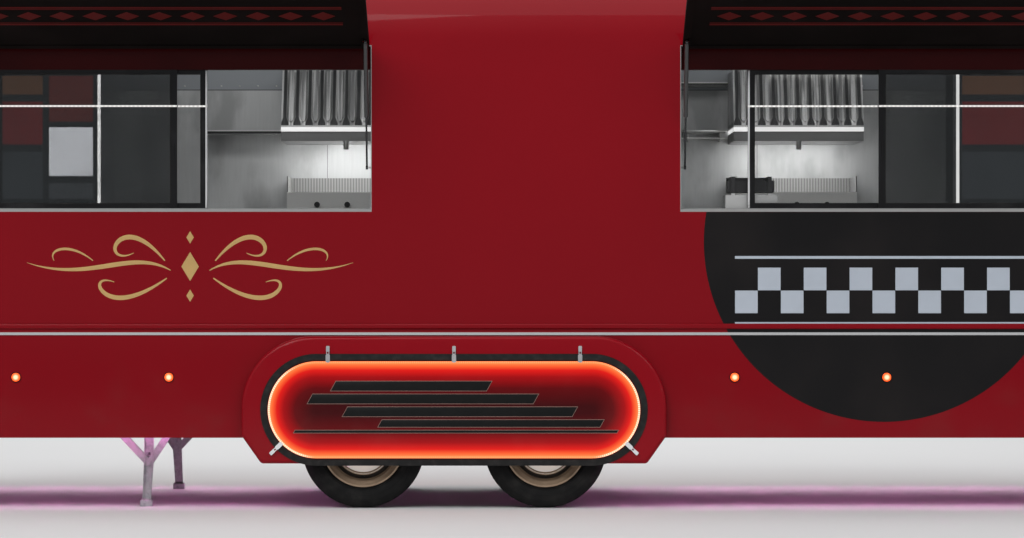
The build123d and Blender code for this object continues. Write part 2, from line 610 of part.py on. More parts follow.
def rim():
    """Barrel, stepped well and centre cap as one turned piece, bored for the stub."""
    half = RIM_WIDTH / 2
    flange, seat = RIM_SEAT_RADIUS + RIM_FLANGE, RIM_SEAT_RADIUS
    well = half - RIM_WELL_BACK
    profile = [
        # radius, along the axle: the outer skin from the inboard flange out
        (flange, -half - RIM_LIP), (flange, -half), (seat, -half), (seat, -half / 3),
        (RIM_STEP_RADIUS + RIM_METAL, 0), (RIM_STEP_RADIUS + RIM_METAL, well), (seat, half - RIM_STEP_BACK),
        (seat, half), (flange, half), (flange, half + RIM_LIP),
        # the bright lip, the step and the dark well round the cap
        (flange - RIM_METAL, half + RIM_LIP + 2), (seat - RIM_METAL, half - 4),
        (RIM_STEP_RADIUS + 4, half - RIM_STEP_BACK), (RIM_STEP_RADIUS, half - RIM_STEP_BACK),
        (RIM_STEP_RADIUS, well), (CAP_WALL_RADIUS, well), (CAP_WALL_RADIUS, half - CAP_BACK - 8),
        (CAP_RADIUS + 4, half - CAP_BACK - 4), (CAP_RADIUS, half - CAP_BACK),
        # the cap's dome, drawn as three flats
        (CAP_RADIUS * 0.75, half - CAP_BACK + CAP_DOME * 0.45),
        (CAP_RADIUS * 0.42, half - CAP_BACK + CAP_DOME * 0.85), (0, half - CAP_BACK + CAP_DOME),
        # the back of the disc, the hub and the drum's inside
        (0, well - RIM_METAL - 40), (HUB_RADIUS, well - RIM_METAL - 40), (HUB_RADIUS, well - RIM_METAL - 6),
        (RIM_STEP_RADIUS - RIM_METAL, well - RIM_METAL), (RIM_STEP_RADIUS - RIM_METAL, 0),
        (seat - RIM_METAL, -half / 3 - RIM_METAL), (seat - RIM_METAL, -half - RIM_LIP),
    ]
    bore = Pos(0, 0, well - RIM_METAL - 40) * Cylinder(STUB_RADIUS + RUNNING_GAP, 2 * HUB_RADIUS)
    return turned(profile) - bore


def wheels():
    for name, ahead, side in WHEELS:
        frame = wheel_frame(ahead, side)
        save(f"tyre_{name}", frame * tyre())
        save(f"rim_{name}", frame * rim())


# Chassis: channel rails, cross members and outriggers

RAIL_FROM_END = 225.0
RAIL_STEEL = 6.0
CROSS_WIDTH = 50.0
CROSS_DEPTH = 70.0
CROSS_FROM_BOX = 280.0
CROSS_FROM_REAR = 500.0
CROSS_FROM_FRONT = 870.0
CROSS_UNDER = FLOOR_UNDER - CROSS_DEPTH
RAIL_INNER = RAIL_SPREAD / 2 - RAIL_WIDTH / 2
RAIL_OUTER = RAIL_SPREAD / 2 + RAIL_WIDTH / 2


def evenly(first, last, count):
    return [first + (last - first) * n / (count - 1) for n in range(count)]


def chassis():
    rear, front = BODY_REAR + RAIL_FROM_END, BODY_FRONT - RAIL_FROM_END
    rail = block(rear, front, -RAIL_OUTER, -RAIL_INNER, RAIL_UNDER, FLOOR_UNDER)
    rail -= block(rear - 1, front + 1, -RAIL_OUTER - 1, -RAIL_INNER - RAIL_STEEL,
                  RAIL_UNDER + RAIL_STEEL, FLOOR_UNDER - RAIL_STEEL)
    save("chassis_rails", both_sides([rail]))

    members = []
    places = evenly(BODY_REAR + CROSS_FROM_REAR, -BOX_HALF - CROSS_FROM_BOX, 3) \
        + evenly(BOX_HALF + CROSS_FROM_BOX, BODY_FRONT - CROSS_FROM_FRONT, 3)
    for ahead in places:
        span = (ahead - CROSS_WIDTH / 2, ahead + CROSS_WIDTH / 2)
        members.append(block(*span, -RAIL_INNER, RAIL_INNER, CROSS_UNDER, FLOOR_UNDER))
        members += both_sides([block(*span, -INNER_SIDE, -RAIL_OUTER, CROSS_UNDER, FLOOR_UNDER)])
    save("cross_members", members)


# Drawbar: two box arms, a nose plate and a tie

NOSE_HALF = 75.0
NOSE_BEHIND = 90.0
NOSE_AHEAD = 60.0
TIE_AHEAD_OF_BODY = 180.0
TIE_WIDTH = 60.0


def drawbar():
    middle = RAIL_UNDER - DRAWBAR_DEPTH / 2
    arms = block(DRAWBAR_NOSE_X - NOSE_BEHIND, DRAWBAR_NOSE_X + NOSE_AHEAD, -NOSE_HALF, NOSE_HALF,
                 RAIL_UNDER - DRAWBAR_DEPTH, RAIL_UNDER)
    for side in (-1, 1):
        path = Vector(DRAWBAR_NOSE_X - DRAWBAR_ROOT_X, side * (DRAWBAR_NOSE_Y - DRAWBAR_ROOT_Y), 0)
        root = Plane(origin=(DRAWBAR_ROOT_X, side * DRAWBAR_ROOT_Y, middle), x_dir=(0, 0, 1), z_dir=path)
        arms += extrude(root * Rectangle(DRAWBAR_DEPTH, DRAWBAR_WIDTH), path.length)
    tie = BODY_FRONT + TIE_AHEAD_OF_BODY
    reach = drawbar_across(tie)
    arms += block(tie - TIE_WIDTH / 2, tie + TIE_WIDTH / 2, -reach, reach, RAIL_UNDER - DRAWBAR_DEPTH,
                  RAIL_UNDER)
    save("drawbar", arms)


# Coupling: draw tube in its flange, cast head over the ball, locking handle and parking brake lever

SHAFT_RADIUS = 30.0
FLANGE_THICKNESS = 12.0
FLANGE_HALF = 50.0
HEAD_RADIUS = 46.0
HEAD_BELOW_BALL = 25.0
HEAD_ABOVE_BALL = 41.0
HEAD_TAPER = 10.0
SOCKET_ABOVE_BALL = 3.0
NECK_LENGTH = 110.0
NECK_HALF = 36.0
GRIP_RADIUS = 13.0
GRIP_LENGTH = 150.0
GRIP_RISE = 52.0
LEVER_RADIUS = 9.0
LEVER_ACROSS = 45.0
LEVER_AHEAD = 60.0
LEVER_SWEEP = 100.0
LEVER_HEIGHT = 300.0
PIVOT_RADIUS = 12.0


def coupling():
    nose = DRAWBAR_NOSE_X + NOSE_AHEAD
    middle = RAIL_UNDER - DRAWBAR_DEPTH / 2
    body = bar((nose, 0, middle), (BALL_AHEAD - HEAD_RADIUS, 0, middle), SHAFT_RADIUS)
    body += block(nose, nose + FLANGE_THICKNESS, -NOSE_HALF, NOSE_HALF, middle - FLANGE_HALF,
                  middle + FLANGE_HALF)
    head = turned([(0, -HEAD_BELOW_BALL), (HEAD_RADIUS, -HEAD_BELOW_BALL), (HEAD_RADIUS, 0),
                   (HEAD_RADIUS - HEAD_TAPER, HEAD_ABOVE_BALL), (0, HEAD_ABOVE_BALL)])
    body += Pos(BALL_AHEAD, 0, BALL_HEIGHT) * head
    body += block(BALL_AHEAD - NECK_LENGTH, BALL_AHEAD, -NECK_HALF, NECK_HALF,
                  BALL_HEIGHT - HEAD_BELOW_BALL / 2, BALL_HEIGHT + HEAD_ABOVE_BALL - 5)
    mouth = HEAD_BELOW_BALL + SOCKET_ABOVE_BALL
    body -= Pos(BALL_AHEAD, 0, BALL_HEIGHT + SOCKET_ABOVE_BALL - mouth) * Cylinder(BALL_RADIUS, 2 * mouth)
    body -= Pos(BALL_AHEAD, 0, BALL_HEIGHT + SOCKET_ABOVE_BALL) * Sphere(BALL_RADIUS)

    grip_from = (BALL_AHEAD - HEAD_RADIUS / 2, 0, BALL_HEIGHT + HEAD_ABOVE_BALL - 3)
    body += bar(grip_from, (grip_from[0] - GRIP_LENGTH, 0, grip_from[2] + GRIP_RISE), GRIP_RADIUS)
    pivot_x, knee = nose + LEVER_AHEAD, (nose + LEVER_AHEAD, LEVER_ACROSS, middle + LEVER_HEIGHT / 5)
    body += bar((pivot_x, 0, middle), (pivot_x, LEVER_ACROSS + LEVER_RADIUS, middle), PIVOT_RADIUS)
    body += bar((pivot_x, LEVER_ACROSS, middle), knee, LEVER_RADIUS)
    body += bar(knee, (knee[0] - LEVER_SWEEP, LEVER_ACROSS, middle + LEVER_HEIGHT), LEVER_RADIUS)
    save("coupling_head", body)


# Axles: hexagon beams on brackets, swing arms, stubs and drum plates

BEAM_BELOW_RAILS = 80.0
BEAM_ACROSS = 80.0
ARM_LENGTH = 150.0
ARM_DEPTH = 60.0
BEAM_BOSS = 46.0
STUB_BOSS = 38.0
BRACKET_HALF = 70.0
DRUM_DEPTH = 44.0
STUB_SHORT = 2.0


def axles():
    beam_z = RAIL_UNDER - BEAM_BELOW_RAILS
    units = []
    for ahead in (-WHEEL_SPACING / 2, WHEEL_SPACING / 2):
        centre = ahead + ARM_LENGTH
        hexagon = RegularPolygon(BEAM_ACROSS / 2, 6, major_radius=False)
        beam = extrude(Plane(origin=(centre, -ARM_INNER, beam_z), z_dir=(0, 1, 0)) * hexagon, 2 * ARM_INNER)
        for side in (-1, 1):
            rail = side * RAIL_SPREAD / 2
            beam += block(centre - BRACKET_HALF, centre + BRACKET_HALF, rail - RAIL_WIDTH / 2,
                          rail + RAIL_WIDTH / 2, beam_z, RAIL_UNDER)
            plane = Plane(origin=(0, max(side * ARM_INNER, side * ARM_OUTER), 0), x_dir=(1, 0, 0),
                          z_dir=(0, -1, 0))
            with BuildSketch(plane) as arm:
                with BuildLine():
                    Line((centre, beam_z), (ahead, TYRE_RADIUS))
                trace(line_width=ARM_DEPTH)
            beam += extrude(arm.sketch, ARM_THICKNESS)
            inner, outer = side * ARM_INNER, side * ARM_OUTER
            beam += bar((centre, inner, beam_z), (centre, outer, beam_z), BEAM_BOSS)
            beam += bar((ahead, inner, TYRE_RADIUS), (ahead, outer, TYRE_RADIUS), STUB_BOSS)
            beam += bar((ahead, outer, TYRE_RADIUS), (ahead, outer + side * DRUM_DEPTH, TYRE_RADIUS),
                        DRUM_RADIUS)
            beam += bar((ahead, outer, TYRE_RADIUS), (ahead, side * (TRACK / 2 - STUB_SHORT), TYRE_RADIUS),
                        STUB_RADIUS)
        units.append(beam)
    save("axles", units)


# Steadies: a channel leg braced by two angle bars, with a block foot on the ground

STEADY_FROM_BOX = 720.0
STEADY_FROM_FRONT = 655.0
STEADY_FROM_SIDE = 220.0
KNEE_BELOW_SKIRT = 142.0
BRACE_SPREADS = (-295.0, 210.0)
BRACE_WIDTH = 36.0
BRACE_STEEL = 5.0
LEG_WIDTH = 48.0
LEG_DEPTH = 34.0
LEG_STEEL = 4.0
LEG_TAPER = 1.0
LEG_LEAN = (-11.0, -10.0)
FOOT_WIDTH = 62.0
FOOT_HEIGHT = 40.0
FOOT_BEVEL = 10.0
PLATE_HALF = 24.0
PLATE_THICKNESS = 8.0
PLATE_SPARE = 24.0
HANGER_HALF = 60.0
STEADY_KNEE = SKIRT_HEIGHT - KNEE_BELOW_SKIRT
STEADY_AT = (-BOX_HALF - STEADY_FROM_BOX, BODY_FRONT - STEADY_FROM_FRONT)


def steady(ahead):
    """One steady on the service side; the far side has the same one turned round."""
    out = -SIDE + STEADY_FROM_SIDE
    knee = Vector(ahead, out, STEADY_KNEE)
    plate_under = CROSS_UNDER - PLATE_THICKNESS
    section = Rectangle(LEG_WIDTH, LEG_DEPTH) \
        - Pos(0, -LEG_STEEL) * Rectangle(LEG_WIDTH - 2 * LEG_STEEL, LEG_DEPTH)
    leg = extrude(Plane(origin=knee, x_dir=(1, 0, 0)) * section, plate_under - STEADY_KNEE)
    sole = Vector(ahead + LEG_LEAN[0], out + LEG_LEAN[1], FOOT_HEIGHT - 1)
    shin = Plane(origin=knee + Vector(0, 0, BRACE_WIDTH), x_dir=(1, 0, 0),
                 z_dir=sole - knee - Vector(0, 0, BRACE_WIDTH))
    length = (sole - knee).length + BRACE_WIDTH
    wide, deep = LEG_WIDTH + LEG_STEEL / 2, LEG_DEPTH + LEG_STEEL / 2
    leg += extrude(shin * Rectangle(wide, deep), length, taper=LEG_TAPER) \
        - extrude(shin * Pos(0, LEG_STEEL) * Rectangle(wide - 2 * LEG_STEEL, deep), length, taper=LEG_TAPER)
    foot = Pos(sole.X, sole.Y, FOOT_HEIGHT / 2) * Box(FOOT_WIDTH, FOOT_WIDTH, FOOT_HEIGHT)
    leg += chamfer(foot.faces().sort_by(Axis.Z)[-1].edges(), FOOT_BEVEL)
    for spread in BRACE_SPREADS:
        start = Vector(ahead + spread, out, plate_under - BRACE_STEEL)
        bar_plane = Plane(origin=start, x_dir=(0, 1, 0), z_dir=knee - start)
        angle = Rectangle(BRACE_STEEL, BRACE_WIDTH) \
            + Pos(BRACE_WIDTH / 3, BRACE_WIDTH / 2 - BRACE_STEEL / 2) * Rectangle(BRACE_WIDTH * 2 / 3, BRACE_STEEL)
        leg += extrude(bar_plane * angle, (knee - start).length)
    leg += block(ahead + BRACE_SPREADS[0] - PLATE_SPARE, ahead + BRACE_SPREADS[1] + PLATE_SPARE,
                 out - PLATE_HALF, out + PLATE_HALF, plate_under - BRACE_STEEL, CROSS_UNDER)
    leg += block(ahead - HANGER_HALF, ahead + HANGER_HALF, out - PLATE_HALF, out + PLATE_HALF,
                 CROSS_UNDER, FLOOR_UNDER)
    lug = -RAIL_OUTER - LEG_WIDTH / 2
    leg += block(ahead - LEG_WIDTH / 2, ahead + LEG_WIDTH / 2, lug, -RAIL_OUTER, RAIL_UNDER,
                 RAIL_UNDER + LEG_WIDTH)
    leg += bar((ahead, lug + PLATE_THICKNESS, RAIL_UNDER + LEG_WIDTH / 2),
               (ahead, out, STEADY_KNEE + BRACE_WIDTH), LEG_STEEL * 2)
    return leg


def steadies():
    legs = []
    for ahead in STEADY_AT:
        near = steady(ahead)
        legs += [near, Pos(ahead, 0, 0) * Rot(0, 0, 180) * Pos(-ahead, 0, 0) * near]
    save("steadies", legs)


# Jockey wheel: tube clamped to a drawbar arm, crank handle, castor fork and wheel

JOCKEY_BEHIND_BALL = 790.0
JOCKEY_FROM_ARM = 146.0
JOCKEY_TUBE = 30.0
JOCKEY_TUBE_WALL = 6.0
JOCKEY_TUBE_LENGTH = 520.0
JOCKEY_TUBE_RISE = 370.0
JOCKEY_WHEEL = 100.0
JOCKEY_WHEEL_WIDTH = 60.0
JOCKEY_CASTOR = 45.0
JOCKEY_PIN = 10.0
JOCKEY_CROWN = 12.0
JOCKEY_CHEEK = 8.0
JOCKEY_ROOM = 10.0
CLAMP_HALF = 40.0
CLAMP_DEPTH = 80.0
CLAMP_BELOW = 15.0
CRANK = 90.0
CRANK_ROD = 8.0


def jockey():
    ahead = BALL_AHEAD - JOCKEY_BEHIND_BALL
    across = drawbar_across(ahead) + JOCKEY_FROM_ARM
    at = Pos(ahead, across, 0)
    slant = atan2(DRAWBAR_ROOT_Y - DRAWBAR_NOSE_Y, DRAWBAR_NOSE_X - DRAWBAR_ROOT_X)
    reach = JOCKEY_FROM_ARM * cos(slant) - DRAWBAR_WIDTH / 2
    tube_top = RAIL_UNDER + JOCKEY_TUBE_RISE
    tube_low = tube_top - JOCKEY_TUBE_LENGTH
    bore = JOCKEY_TUBE - JOCKEY_TUBE_WALL
    stem_top = tube_top - JOCKEY_TUBE_LENGTH / 2
    tube = turned([(0, tube_low), (JOCKEY_TUBE, tube_low), (JOCKEY_TUBE, tube_top), (0, tube_top)])
    tube -= turned([(0, tube_low - 1), (bore, tube_low - 1), (bore, stem_top + JOCKEY_ROOM),
                    (0, stem_top + JOCKEY_ROOM)])
    clamp = Rot(0, 0, -degrees(slant)) * block(-CLAMP_HALF, CLAMP_HALF, -reach, 0,
                                               RAIL_UNDER - CLAMP_BELOW - CLAMP_DEPTH,
                                               RAIL_UNDER - CLAMP_BELOW)
    clamp -= turned([(0, 0), (JOCKEY_TUBE - 1, 0), (JOCKEY_TUBE - 1, tube_top), (0, tube_top)])
    crank_z = tube_top + CRANK / 3
    handle = bar((0, 0, tube_top), (0, 0, crank_z + CRANK_ROD), CRANK_ROD)
    handle += bar((0, 0, crank_z), (CRANK, 0, crank_z), CRANK_ROD)
    handle += bar((CRANK, 0, crank_z - CRANK_ROD), (CRANK, 0, crank_z + CRANK), CRANK_ROD + 2)
    save("jockey_mount", at * (tube + clamp + handle))

    crown_z = 2 * JOCKEY_WHEEL + JOCKEY_ROOM
    half = JOCKEY_WHEEL_WIDTH / 2 + JOCKEY_ROOM
    fork = turned([(0, crown_z), (bore - RUNNING_GAP, crown_z), (bore - RUNNING_GAP, stem_top), (0, stem_top)])
    fork += block(-JOCKEY_CASTOR - CLAMP_HALF, CLAMP_HALF, -half - JOCKEY_CHEEK, half + JOCKEY_CHEEK,
                  crown_z, crown_z + JOCKEY_CROWN)
    for side in (-1, 1):
        fork += slab(-JOCKEY_CASTOR - 2.4 * JOCKEY_PIN, -JOCKEY_CASTOR + 2.4 * JOCKEY_PIN, side * half,
                     side * (half + JOCKEY_CHEEK), JOCKEY_WHEEL - 2 * JOCKEY_PIN, crown_z + 1)
    fork += bar((-JOCKEY_CASTOR, -half - JOCKEY_CHEEK, JOCKEY_WHEEL),
                (-JOCKEY_CASTOR, half + JOCKEY_CHEEK, JOCKEY_WHEEL), JOCKEY_PIN)
    save("jockey_fork", at * fork)
    wheel = extrude(Plane(origin=(0, -JOCKEY_WHEEL_WIDTH / 2, 0), z_dir=(0, 1, 0)) * Circle(JOCKEY_WHEEL),
                    JOCKEY_WHEEL_WIDTH)
    wheel = fillet(wheel.edges(), JOCKEY_WHEEL_WIDTH / 4)
    wheel -= bar((0, -JOCKEY_WHEEL_WIDTH, 0), (0, JOCKEY_WHEEL_WIDTH, 0), JOCKEY_PIN + RUNNING_GAP)
    save("jockey_wheel", at * Pos(-JOCKEY_CASTOR, 0, JOCKEY_WHEEL) * wheel)


# Rear entry door

DOOR_HINGE_FROM_END = 197.5
DOOR_LEAF = 70.0
DOOR_LEAF_UPPER = 12.0
DOOR_PIN_FROM_EDGE = 15.0
DOOR_WINDOW_HALF = 190.0
DOOR_WINDOW_HEIGHT = 500.0
DOOR_WINDOW_DROP = 200.0
DOOR_WINDOW_CORNER = 60.0
DOOR_GLASS = 6.0
GRAB_ABOVE_SILL = 690.0
GRAB_LENGTH = 210.0
GRAB_FROM_EDGE = 70.0
GRAB_PROUD = 45.0
GRAB_RADIUS = 10.0


def entry_door():
    outside = BODY_REAR - HATCH_PROUD
    panel = block(outside, outside + WALL, -DOOR_WIDTH / 2, DOOR_WIDTH / 2, DOOR_SILL, DOOR_TOP)
    panel = fillet(panel.edges().filter_by(Axis.X), DOOR_CORNER)
    panel = fillet(panel.faces().sort_by(Axis.X)[0].edges(), HATCH_EDGE_RADIUS)
    head = DOOR_TOP - DOOR_WINDOW_DROP
    window = block(outside - WALL, outside + 2 * WALL, -DOOR_WINDOW_HALF, DOOR_WINDOW_HALF,
                   head - DOOR_WINDOW_HEIGHT, head)
    window = fillet(window.edges().filter_by(Axis.X), DOOR_WINDOW_CORNER)
    panel -= window
    middle = outside + WALL / 2
    pane = window & block(middle - DOOR_GLASS / 2, middle + DOOR_GLASS / 2, -SIDE, SIDE, 0, ROOF_HEIGHT)
    upright = Plane(origin=(outside - KNUCKLE_RADIUS, DOOR_WIDTH / 2 + HATCH_GAP + DOOR_PIN_FROM_EDGE, 0),
                    x_dir=(0, 0, 1), z_dir=(0, 1, 0))
    fixed = []
    for height in evenly(DOOR_SILL + DOOR_HINGE_FROM_END, DOOR_TOP - DOOR_HINGE_FROM_END, 3):
        panel += upright * Pos(height, 0, 0) * moving_leaf(DOOR_LEAF)
        fixed.append(upright * Pos(height, 0, 0) * fixed_leaf(HATCH_PROUD, DOOR_LEAF_UPPER))
    grab_y, low = -DOOR_WIDTH / 2 + GRAB_FROM_EDGE, DOOR_SILL + GRAB_ABOVE_SILL
    high, proud = low + GRAB_LENGTH, outside - GRAB_PROUD
    for height in (low, high):
        panel += bar((outside + 1, grab_y, height), (proud, grab_y, height), GRAB_RADIUS)
    panel += bar((proud, grab_y, low - GRAB_RADIUS), (proud, grab_y, high + GRAB_RADIUS), GRAB_RADIUS)
    save("entry_door", panel)
    save("door_glass", pane)
    save("door_hinges", fixed)


# Lamps, number plate and the light strips under the skirts

MARKER_BELOW_BELT = 225.0
MARKER_RADIUS = 22.0
MARKER_PROUD = 14.0
MARKERS_AT = (-2257.0, -1469.0, 1445.0, 2228.0, 3010.0)
TAIL_FROM_CORNER = 60.0
TAIL_PITCH = 100.0
TAIL_RADIUS = 42.0
TAIL_PROUD = 24.0
TAIL_EDGE = 6.0
TRIANGLE_RADIUS = 60.0
PLATE_ABOVE_SKIRT = 117.0
NUMBER_PLATE = (520.0, 110.0, 8.0)
STRIP_LIGHT = 15.0
STRIP_LIGHT_UP = 12.0


def lamps():
    markers = []
    for ahead in MARKERS_AT:
        plane = facing_out(-SIDE, BELT_HEIGHT - MARKER_BELOW_BELT, ahead)
        lens = extrude(plane * Circle(MARKER_RADIUS), MARKER_PROUD)
        markers.append(fillet(lens.faces().sort_by(Axis.Y)[0].edges(), MARKER_PROUD / 2))
    save("side_markers", both_sides(markers))
    across = SIDE - PLAN_RADIUS - TAIL_FROM_CORNER
    tails = []
    for row in (1, 2, 3):
        plane = Plane(origin=(BODY_REAR, -across, BELT_HEIGHT - row * TAIL_PITCH), x_dir=(0, 1, 0),
                      z_dir=(-1, 0, 0))
        lens = extrude(plane * Circle(TAIL_RADIUS), TAIL_PROUD)
        tails.append(fillet(lens.faces().sort_by(Axis.X)[0].edges(), TAIL_EDGE))
    plane = Plane(origin=(BODY_REAR, -across, BELT_HEIGHT - 4 * TAIL_PITCH), x_dir=(0, 1, 0), z_dir=(-1, 0, 0))
    tails.append(extrude(plane * RegularPolygon(TRIANGLE_RADIUS, 3, rotation=90), TAIL_EDGE))
    save("tail_lamps", both_sides(tails))

    width, height, thickness = NUMBER_PLATE
    low = SKIRT_HEIGHT + PLATE_ABOVE_SKIRT
    save("number_plate", block(BODY_REAR - thickness, BODY_REAR, -width / 2, width / 2, low, low + height))

    strip_low = SKIRT_HEIGHT + STRIP_LIGHT_UP
    strips = [block(rear, front, -INNER_SIDE, -INNER_SIDE + STRIP_LIGHT, strip_low, strip_low + STRIP_LIGHT)
              for rear, front in ((REAR_SPLIT, -BOX_HALF), (BOX_HALF, FRONT_SPLIT))]
    save("underglow_strips", both_sides(strips))


# Kitchen: counters with their doors, hoods with baffles, shelves, contact grill and griddles

COUNTER_TOP = 30.0
COUNTER_DEPTH = 520.0
COUNTER_FROM_END = 680.0
COUNTER_OVERHANG = 40.0
COUNTER_BOARD = 20.0
COUNTER_BAYS = 8
BAY_DOOR = 16.0
BAY_GAP = 6.0
BAY_HANDLE = 160.0
BAY_HANDLE_RADIUS = 6.0
HOOD_WIDTH = 718.0
HOOD_DEPTH = 670.0
HOOD_HEIGHT = 401.0
HOOD_BELOW_EAVES = 64.0
HOOD_RIM = 85.0
HOOD_GUTTER = 20.0
HOOD_SLOPE_BACK = 160.0
HOOD_SLOPE_START = 12.0
DUCT_HALF = 80.0
BAFFLES = 10
BAFFLE_MARGIN = 20.0
BAFFLE_THICKNESS = 20.0
BAFFLE_GAP = 18.0
BAFFLE_POINT = 34.0
SHELF_DEPTH = 250.0
SHELF_THICKNESS = 20.0
SHELVES = [
    # hood it stands behind, gap to the hood, width, top below the eaves
    ("rear", 17.0, 437.0, 390.0),
    ("front", 12.0, 262.0, 120.0),
]


def counter(side):
    """A counter against a wall, with a row of doors and bar handles towards the aisle."""
    wall, edge = side * INNER_SIDE, side * (INNER_SIDE - COUNTER_DEPTH)
    rear, front = BODY_REAR + COUNTER_FROM_END, BODY_FRONT - COUNTER_FROM_END
    under = SILL_HEIGHT - COUNTER_TOP
    face = edge + side * COUNTER_OVERHANG
    back = face + side * COUNTER_BOARD
    body = slab(rear, front, edge, wall, under, SILL_HEIGHT)
    body += slab(rear, front, face, back, FLOOR_HEIGHT, under)
    for end in (rear, (rear + front) / 2, front - COUNTER_BOARD):
        reach = wall if abs(end) > BOX_HALF else side * (BOX_INNER - COUNTER_BOARD)
        body += slab(end, end + COUNTER_BOARD, back, reach, FLOOR_HEIGHT, under)
    bay = (front - rear) / COUNTER_BAYS
    outside = face - side * BAY_DOOR
    handle_z = under - BAY_HANDLE / 2
    for n in range(COUNTER_BAYS):
        left, right = rear + n * bay + BAY_GAP, rear + (n + 1) * bay - BAY_GAP
        body += slab(left, right, outside, face, FLOOR_HEIGHT + BAY_HANDLE / 2, under - BAY_GAP)
        middle, grip = (left + right) / 2, outside - side * 2 * BAY_HANDLE_RADIUS
        body += bar((middle - BAY_HANDLE / 2, grip, handle_z), (middle + BAY_HANDLE / 2, grip, handle_z),
                    BAY_HANDLE_RADIUS)
        for end in (-1, 1):
            post = middle + end * BAY_HANDLE / 3
            body += bar((post, outside + side, handle_z), (post, grip, handle_z), BAY_HANDLE_RADIUS / 2)
    return body


def baffle(pitch, run):
    """One filter channel up the hood's slope, drawn along Y: a trapezoid section with a pointed foot."""
    half, crown = (pitch - BAFFLE_GAP) / 2, (pitch - BAFFLE_GAP) / 4
    section = make_face(Plane.XZ * Polyline((-half, 0), (-crown, BAFFLE_THICKNESS), (crown, BAFFLE_THICKNESS),
                                            (half, 0), close=True))
    outline = make_face(Polyline((-crown / 2, 0), (crown / 2, 0), (half, BAFFLE_POINT), (half, run),
                                 (-half, run), (-half, BAFFLE_POINT), close=True))
    return extrude(section, run, dir=(0, 1, 0)) & extrude(outline, BAFFLE_THICKNESS)


def hood(ahead):
    """An extraction hood on the far wall: rim with a gutter, baffles on its slope, and a duct."""
    x0 = ahead - HOOD_WIDTH / 2
    back, front = INNER_SIDE, INNER_SIDE - HOOD_DEPTH
    high = EAVES_HEIGHT - HOOD_BELOW_EAVES
    low = high - HOOD_HEIGHT
    foot = (front + HOOD_SLOPE_START, low + HOOD_RIM)
    profile = [(back, low), (front + HOOD_GUTTER, low), (front + HOOD_GUTTER, low + HOOD_RIM * 0.65),
               (front, low + HOOD_RIM * 0.65), (front, low + HOOD_RIM), foot,
               (front + HOOD_SLOPE_BACK, high), (back, high)]
    shell = extrude(make_face(Plane.YZ.offset(x0) * Polyline(*profile, close=True)), HOOD_WIDTH,
                    dir=(1, 0, 0))
    rise = (HOOD_SLOPE_BACK - HOOD_SLOPE_START, high - foot[1])
    slope = Plane(origin=(x0, *foot), x_dir=(1, 0, 0), z_dir=(0, -rise[1], rise[0]))
    pitch = (HOOD_WIDTH - 2 * BAFFLE_MARGIN) / BAFFLES
    channel = baffle(pitch, hypot(*rise) - 2 * BAFFLE_MARGIN)
    for n in range(BAFFLES):
        shell += slope * Pos(BAFFLE_MARGIN + pitch * (n + 0.5), BAFFLE_MARGIN, -2) * channel
    return shell + block(ahead - DUCT_HALF, ahead + DUCT_HALF, COWL_ACROSS - DUCT_HALF,
                         COWL_ACROSS + DUCT_HALF, high, ROOF_HEIGHT - WALL)


GRILL_BEHIND_OPENING = 680.0
GRILL_WIDTH = 270.0
GRILL_DEPTH = 290.0
GRILL_FROM_WALL = 110.0
GRILL_BASE = 90.0
GRILL_GAP = 15.0
GRILL_LID = 60.0
GRILL_ARM = 20.0
GRILL_GRIP = 12.0
GRIDDLE_INSET = 23.0
GRIDDLE_DEPTH = 480.0
GRIDDLE_HEIGHT = 138.0
GRIDDLE_GUARD = 90.0
GRIDDLE_STEEL = 6.0
KNOB_RADIUS = 16.0


def contact_grill():
    """A two-plate grill on the service counter: base, lid on two arms, and a grip bar."""
    ahead = OPENINGS["front"] - GRILL_BEHIND_OPENING
    rear, front = ahead - GRILL_WIDTH / 2, ahead + GRILL_WIDTH / 2
    near, far = -INNER_SIDE + GRILL_FROM_WALL, -INNER_SIDE + GRILL_FROM_WALL + GRILL_DEPTH
    lid_low = SILL_HEIGHT + GRILL_BASE + GRILL_GAP
    lid_top = lid_low + GRILL_LID
    body = block(rear, front, near, far, SILL_HEIGHT, SILL_HEIGHT + GRILL_BASE)
    body += block(rear + GRILL_GAP, front - GRILL_GAP, near + GRILL_GAP, far - GRILL_ARM, lid_low, lid_top)
    for arm in (rear + 2 * GRILL_ARM, front - 2 * GRILL_ARM):
        body += block(arm - GRILL_ARM / 2, arm + GRILL_ARM / 2, near, near + 2 * GRILL_ARM,
                      SILL_HEIGHT + GRILL_BASE - 1, lid_top + GRILL_ARM)
        body += block(arm - GRILL_ARM / 2, arm + GRILL_ARM / 2, near, far + 2 * GRILL_ARM, lid_top,
                      lid_top + GRILL_ARM)
    grip = (far + 2 * GRILL_ARM, lid_top + GRILL_ARM / 2)
    return body + bar((rear + GRILL_ARM, *grip), (front - GRILL_ARM, *grip), GRILL_GRIP)


def griddle(ahead):
    """A griddle under a hood: body, splash guard on three sides, and three knobs."""
    half = HOOD_WIDTH / 2 - GRIDDLE_INSET
    back, front = INNER_SIDE, INNER_SIDE - GRIDDLE_DEPTH
    top = SILL_HEIGHT + GRIDDLE_HEIGHT
    body = block(ahead - half, ahead + half, front, back, SILL_HEIGHT, top + GRIDDLE_GUARD)
    body -= block(ahead - half + GRIDDLE_STEEL, ahead + half - GRIDDLE_STEEL, front - WALL,
                  back - GRIDDLE_STEEL, top, top + 2 * GRIDDLE_GUARD)
    for knob in (-half / 2, 0, half / 2):
        body += bar((ahead + knob, front + 1, SILL_HEIGHT + GRIDDLE_HEIGHT / 2),
                    (ahead + knob, front - KNOB_RADIUS, SILL_HEIGHT + GRIDDLE_HEIGHT / 2), KNOB_RADIUS)
    return body


